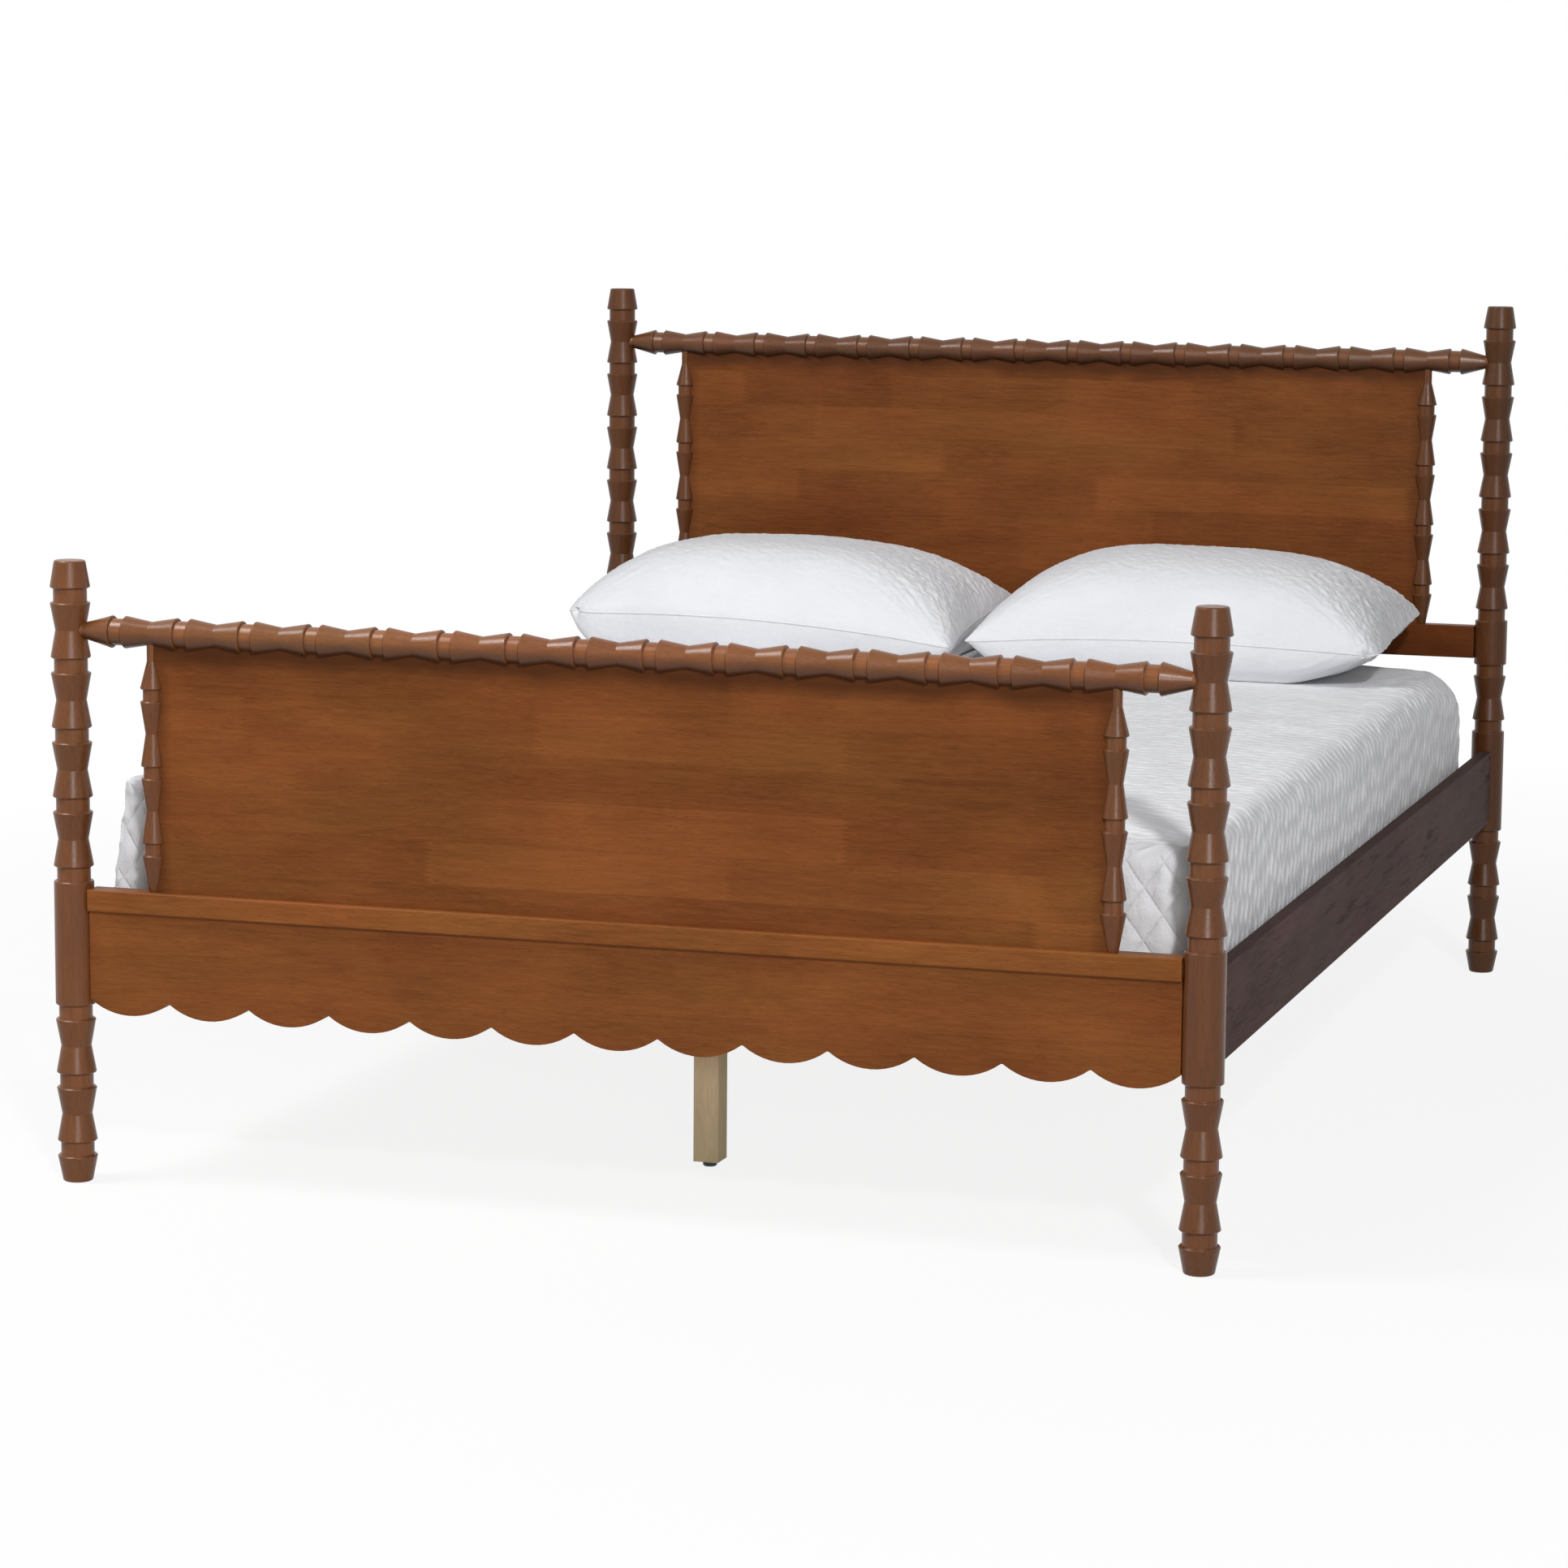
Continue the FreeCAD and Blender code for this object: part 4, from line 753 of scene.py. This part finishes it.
def make_mattress():
    low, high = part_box("mattress")
    lo = np.array(low) + MATTRESS_ROOM_LOW
    hi = np.array(high) - MATTRESS_ROOM_HIGH

    def edges(p):
        return edge_radii(p, lo[2])

    fabric = knit("white_knit", KNIT_WHITE)
    fine_cells = tuple(n * k for n, k in zip(MATTRESS_CELLS, MATTRESS_FINER))
    co, faces, fine = rounded_block(lo, hi, fine_cells, edges)
    start, coarse_faces, ijk = rounded_block(lo, hi, MATTRESS_CELLS, edges)
    body = mesh_object("mattress_swell", start, coarse_faces, fabric)
    inflate(body, np.nonzero(start[:, 2] < lo[2] + 0.004)[0], **MATTRESS_CLOTH)
    co = co + spread(points(body) - start, ijk, MATTRESS_CELLS, fine, MATTRESS_FINER)
    bpy.data.objects.remove(body)
    co = round_corners(co, lo, hi)
    pressed = smooth(0.54, 0.60, co[:, 1]) * smooth(-0.66, -0.60, co[:, 0]) * smooth(0.62, 0.56, co[:, 0])
    rise = smooth(lo[2] + 0.1, hi[2], co[:, 2])
    settle_mattress(co, lo, hi, np.array(high)[:2], pressed, rise)

    body = mesh_object("mattress_cover", co, faces, fabric)
    co = points(body)
    no = normals(body)
    ends = smooth(0.70, 0.96, np.abs(no[:, 1])) * smooth(0.685, 0.650, np.abs(co[:, 0]))
    below = smooth(lo[2] + 0.012, lo[2] + 0.03, co[:, 2])
    # Ridges on the top and the sides.
    run = co[:, 0] + np.sign(co[:, 0]) * np.clip(hi[2] - co[:, 2], 0, None)
    away = ridge_distance(co, run, field(co, (5.0, 7.0, 6.0), 11.0))
    ridge = np.exp(-(away / MATTRESS_RIDGE_WIDTH) ** 2)
    broken = np.clip(0.85 + 0.6 * field(co, (22.0, 36.0, 24.0), 5.0), 0.2, 1.25)
    flat = (1 - 0.85 * pressed * rise) * (1 - ends) * below
    flank = 1 + 0.3 * smooth(0.75, 0.97, np.abs(no[:, 0])) * smooth(0.7, -0.4, co[:, 1])
    ripple = (ridge * broken * flank - 0.25) * MATTRESS_RIDGE_HEIGHT * flat
    for name, values in (("rib_place", np.minimum(away, 0.5)), ("rib_height", broken * flank * flat)):
        layer = body.data.attributes.new(name, "FLOAT", "POINT")
        layer.data.foreach_set("value", values.astype(np.float32))
    # Quilting on the two ends.
    u, v = co[:, 0] / QUILT_WIDTH, (co[:, 2] - QUILT_BASE) / QUILT_HEIGHT
    quilt = np.minimum(np.abs(np.sin(np.pi * (u + v))), np.abs(np.sin(np.pi * (u - v))))
    crease = field(co, (55.0, 38.0, 15.0), 2.0) * 0.0024 + field(co, (90.0, 60.0, 60.0), 8.0) * 0.0010
    puffs = (quilt ** 0.6 - 0.7) * QUILT_PUFF + crease
    height = ripple + puffs * ends * below
    set_points(body, co + no * height[:, None])
    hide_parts("mattress")
    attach(body, "mattress")


# Pillows.
PILLOW_CELLS = (84, 56)
PILLOW_FRONT_INSET = 0.046
PILLOW_FRONT_PULL = 0.010
PILLOW_FRONT_BULGE = 0.42
PILLOW_FIN = 0.0045
PILLOW_CLOTH = {"pressure": 2.5, "frames": 16, "stiffness": 12.0, "bending": 0.6, "mass": 0.25, "limit": 0.005}
# seam: heights at front left, front right, rear left and rear right, and the bow between left and right.
# ends, sides: powers and fullness of the dome to the left and right ends, and to the front and rear.
# crown: height of the top, and tilt: its change to the right end.
# Then, for the left and right ends: pull of the seam inwards, how far the corners draw in, how far in the case
# meets the mattress, and how full its lower layer is.
PILLOW_SHAPES = {
    "left": {
        "seam": (0.548, 0.515, 0.520, 0.560, 0.018), "ends": ((3.6, 0.82), (2.27, 0.575)), "sides": (4.0, 1.0),
        "crown": 0.6525, "tilt": 0.0, "pull": (0.009, 0.014), "ear": (0.030, 0.006), "inset": (0.073, 0.060),
        "bulge": (0.9, 0.55), "seed": 1},
    "right": {
        "seam": (0.527, 0.526, 0.535, 0.561, 0.011), "ends": ((2.9, 0.82), (3.8, 0.82)), "sides": (2.4, 0.42),
        "crown": 0.6600, "tilt": -0.0065, "pull": (0.005, 0.006), "ear": (0.000, 0.026), "inset": (0.075, 0.160),
        "bulge": (0.9, 1.25), "seed": 2},
}
CRINKLE_TURN = ((0.8, -0.6, 0), (0.6, 0.8, 0), (0, 0, 1))
CRINKLE_HEIGHT, FINE_CRINKLE_HEIGHT, FOLD_HEIGHT, SLACK_HEIGHT = 0.0009, 0.0010, 0.0009, 0.0020
SEAM_RADIUS, SEAM_STITCH, SEAM_STEP, SEAM_SIDES = 0.0014, 0.005, 0.0022, 8


def plump_case(low, high, shape, cells):
    """Two layers of cloth sewn at their rim: a domed upper one and a lower one that lies on the mattress."""
    nx, ny = cells
    front_left, front_right, rear_left, rear_right, bow = shape["seam"]
    size = high - low
    u, v = np.meshgrid(np.linspace(-1, 1, nx + 1), np.linspace(-1, 1, ny + 1), indexing="ij")
    rim = (np.abs(u) == 1) | (np.abs(v) == 1)

    def by_end(pair):
        return np.where(u < 0, *pair)

    ear = by_end(shape["ear"]) * (np.abs(u) * np.abs(v)) ** 12
    x = u * (size[0] / 2 - PILLOW_FIN - by_end(shape["pull"]) * (1 - v ** 2) * np.abs(u) ** 3 - ear)
    y = v * (size[1] / 2 - PILLOW_FIN - PILLOW_FRONT_PULL * (1 - u ** 2) * np.abs(v) ** 3 - ear)
    fin = PILLOW_FIN * (1 - (np.abs(u) * np.abs(v)) ** 3)
    x = x + fin * np.where(np.abs(u) == 1, u, 0)
    y = y + fin * np.where(np.abs(v) == 1, v, 0)
    s, r = (u + 1) / 2, (v + 1) / 2
    seam = (front_left * (1 - s) + front_right * s) * (1 - r) + (rear_left * (1 - s) + rear_right * s) * r
    seam = seam + bow * (1 - u ** 2)
    end_power, end_full = (by_end(pair) for pair in zip(*shape["ends"]))
    side_power, side_full = shape["sides"]
    dome = (1 - np.abs(u) ** end_power) ** end_full * (1 - np.abs(v) ** side_power) ** side_full
    crown = shape["crown"] + shape["tilt"] * u
    centre = (low + high) / 2
    upper = np.stack([centre[0] + x, centre[1] + y, seam + (crown - seam) * dome], -1).reshape(-1, 3)
    rest = low[2] + 0.0006
    near_end = np.clip((1 - np.abs(u)) * size[0] / 2 / by_end(shape["inset"]), 0, 1)
    near_side = np.clip((1 - np.abs(v)) * size[1] / 2 / PILLOW_FRONT_INSET, 0, 1)
    belly = (1 - (1 - near_end) ** 2) ** by_end(shape["bulge"]) * (1 - (1 - near_side) ** 2) ** PILLOW_FRONT_BULGE
    under = np.where(rim, seam, seam - (seam - rest) * belly)
    lower = np.stack([centre[0] + x, centre[1] + y, under], -1).reshape(-1, 3)
    top = np.arange((nx + 1) * (ny + 1)).reshape(nx + 1, ny + 1)
    inner = ~rim
    bottom = top.copy()
    bottom[inner] = top.size + np.arange(inner.sum())
    verts = np.concatenate([upper, lower[inner.reshape(-1)]])

    def quads(g):
        return np.stack([g[:-1, :-1], g[1:, :-1], g[1:, 1:], g[:-1, 1:]], -1).reshape(-1, 4)

    ring = np.concatenate([top[:-1, 0], top[-1, :-1], top[:0:-1, -1], top[0, :0:-1]])
    return verts, np.concatenate([quads(top), quads(bottom)[:, ::-1]]), ring


def corner_folds(co, low, high, seed):
    """Fine folds that fan out from a pillow's corners, most of all on its right end."""
    total = np.zeros(len(co))
    for cx, cy, amount in ((low[0], low[1], 0.5), (high[0], low[1], 1.0),
                           (low[0], high[1], 0.5), (high[0], high[1], 0.8)):
        dx, dy = np.abs(co[:, 0] - cx), np.abs(co[:, 1] - cy)
        away = np.hypot(dx, dy)
        turn = np.arctan2(dy, dx)
        fan = field(np.stack([turn * 24.0, away * 9.0, np.full(len(co), cx * 3 + cy)], 1), 1.0, seed)
        total += amount * fan * smooth(0.30, 0.10, away) * smooth(0.015, 0.05, away)
    return total


def seam_tube(line):
    """A thin sewn edge along a closed line, pinched at each stitch."""
    line = np.concatenate([line, line[:1]])
    run = np.concatenate([[0], np.cumsum(np.linalg.norm(np.diff(line, axis=0), axis=1))])
    count = int(run[-1] / SEAM_STEP)
    at = np.linspace(0, run[-1], count, endpoint=False)
    path = np.stack([np.interp(at, run, line[:, k]) for k in range(3)], 1)
    tangent = np.roll(path, -1, 0) - np.roll(path, 1, 0)
    tangent /= np.linalg.norm(tangent, axis=1, keepdims=True)
    side = np.cross(tangent, (0, 0, 1))
    side /= np.linalg.norm(side, axis=1, keepdims=True)
    lift = np.cross(side, tangent)
    stitch = SEAM_RADIUS * (1 + 0.16 * np.sin(2 * np.pi * at / SEAM_STITCH))
    angle = np.linspace(0, 2 * np.pi, SEAM_SIDES, endpoint=False)
    rings = path[:, None] + stitch[:, None, None] * (
        np.cos(angle)[None, :, None] * side[:, None] + np.sin(angle)[None, :, None] * lift[:, None])
    k = np.arange(count)[:, None] * SEAM_SIDES
    n = (np.arange(count)[:, None] + 1) % count * SEAM_SIDES
    j = np.arange(SEAM_SIDES)[None]
    m = (j + 1) % SEAM_SIDES
    faces = np.stack([k + j, n + j, n + m, k + m], -1).reshape(-1, 4)
    return rings.reshape(-1, 3), faces


def make_pillow(side):
    name = "pillow_" + side
    shape = PILLOW_SHAPES[side]
    seed = shape["seed"]
    low, high = (np.array(c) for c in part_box(name))
    verts, faces, ring = plump_case(low, high, shape, PILLOW_CELLS)
    fabric = cotton("white_cotton_" + side, COTTON_WHITE)
    cover = mesh_object(name + "_case", verts, faces, fabric)
    inflate(cover, np.nonzero(verts[:, 2] < low[2] + 0.003)[0], **PILLOW_CLOTH)
    subdivide(cover, 2)
    co = points(cover)
    no = normals(cover)
    free = smooth(low[2] + 0.004, low[2] + 0.03, co[:, 2])
    turned = co @ np.array(CRINKLE_TURN).T
    slope = 0.55 + 0.9 * smooth(0.1, 0.5, no[:, 0]) + 0.35 * smooth(0.8, 0.97, no[:, 2])
    crinkle = (CRINKLE_HEIGHT * field(turned, (45.0, 95.0, 70.0), seed)
               + FINE_CRINKLE_HEIGHT * field(turned, (105.0, 170.0, 140.0), seed + 7))
    folds = FOLD_HEIGHT * corner_folds(co, low, high, seed + 5)
    slack = SLACK_HEIGHT * field(co, (9.0, 12.0, 10.0), seed + 3)
    co = co + no * ((crinkle * slope + folds + slack) * free)[:, None]
    set_points(cover, co)
    tube, walls = seam_tube(co[ring])
    edge = mesh_object(name + "_seam", tube, walls, fabric)
    for piece in (cover, edge):
        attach(piece, name)
    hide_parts(name)


# Floor, world and lamps.
FLOOR_HALF = 30.0
FLOOR_DROP = 0.0003
FLOOR_GREY = (0.5, 0.5, 0.5, 1)
FLOOR_WHITE = (0.95, 0.95, 0.95, 1)
AMBIENT = 0.11
# Lamps: azimuth from the foot and elevation in degrees, distance, width, height, level, and what they aim at.
LAMPS = {
    "key": (-50, 52, 4.0, 1.4, 1.4, 0.66, (-0.3, -0.3, 0.5)),
    "front": (28, 31, 12.0, 0.8, 0.8, 0.47, (0.1, -0.4, 0.5)),
    "low": (24, 11, 12.0, 3.4, 1.4, 0.20, (0.0, -0.4, 0.5)),
}


def seen(t):
    """1 on rays from the camera and on those that mirror it or pass through glass, 0 on rays that light things."""
    paths = t.add("LightPath")
    most = t.math("MAXIMUM", paths.outputs["Is Camera Ray"], paths.outputs["Is Glossy Ray"])
    return t.math("MAXIMUM", most, paths.outputs["Is Transmission Ray"])


def make_floor():
    """A white floor that keeps a faint shadow near the bed and fades to plain white away from it."""
    t = new_material("floor_white")
    direct = seen(t)
    grey = t.add("BsdfDiffuse", {"Color": t.mix(direct, FLOOR_GREY, FLOOR_WHITE)})
    glow = t.add("Emission", {"Color": WHITE, "Strength": 1.0})
    away = t.vector("LENGTH", t.vector("MULTIPLY", t.place(), (1.0, 0.75, 0.0)))
    share = t.span(away, 1.0, 2.6, 0.86, 1.0)
    both = t.add("MixShader", {0: t.math("MULTIPLY", direct, share), 1: grey.outputs[0], 2: glow.outputs[0]})
    r = FLOOR_HALF
    floor = mesh_object("floor", [(-r, -r, 0), (r, -r, 0), (r, r, 0), (-r, r, 0)], [(0, 1, 2, 3)],
                        t.output(both.outputs[0]))
    floor.location.z = -FLOOR_DROP


def make_world():
    scene.world = bpy.data.worlds.new("studio")
    t = Tree(scene.world)
    sky = t.add("Background", {"Color": WHITE, "Strength": t.span(seen(t), 0.0, 1.0, AMBIENT, 1.0)})
    t.output(sky.outputs[0], "OutputWorld")


def softbox(name, azimuth, elevation, distance, width, height, level, target):
    """A lamp that gives a surface facing it at the target the given level, 1 being as bright as its own colour."""
    a, e = math.radians(azimuth), math.radians(elevation)
    away = Vector((math.sin(a) * math.cos(e), -math.cos(a) * math.cos(e), math.sin(e)))
    data = bpy.data.lights.new(name, "AREA")
    data.shape = "RECTANGLE"
    data.size = width
    data.size_y = height
    data.energy = level * math.pi ** 2 * distance ** 2
    lamp = bpy.data.objects.new(name, data)
    scene.collection.objects.link(lamp)
    lamp.location = Vector(target) + away * distance
    lamp.rotation_mode = "QUATERNION"
    lamp.rotation_quaternion = away.to_track_quat("Z", "Y")


make_camera()
dress_turned()
dress_boards()
dress_base()
make_mattress()
make_pillow("left")
make_pillow("right")
make_floor()
make_world()
for lamp_name, lamp in LAMPS.items():
    softbox(lamp_name, *lamp)

scene.view_settings.view_transform = "Standard"
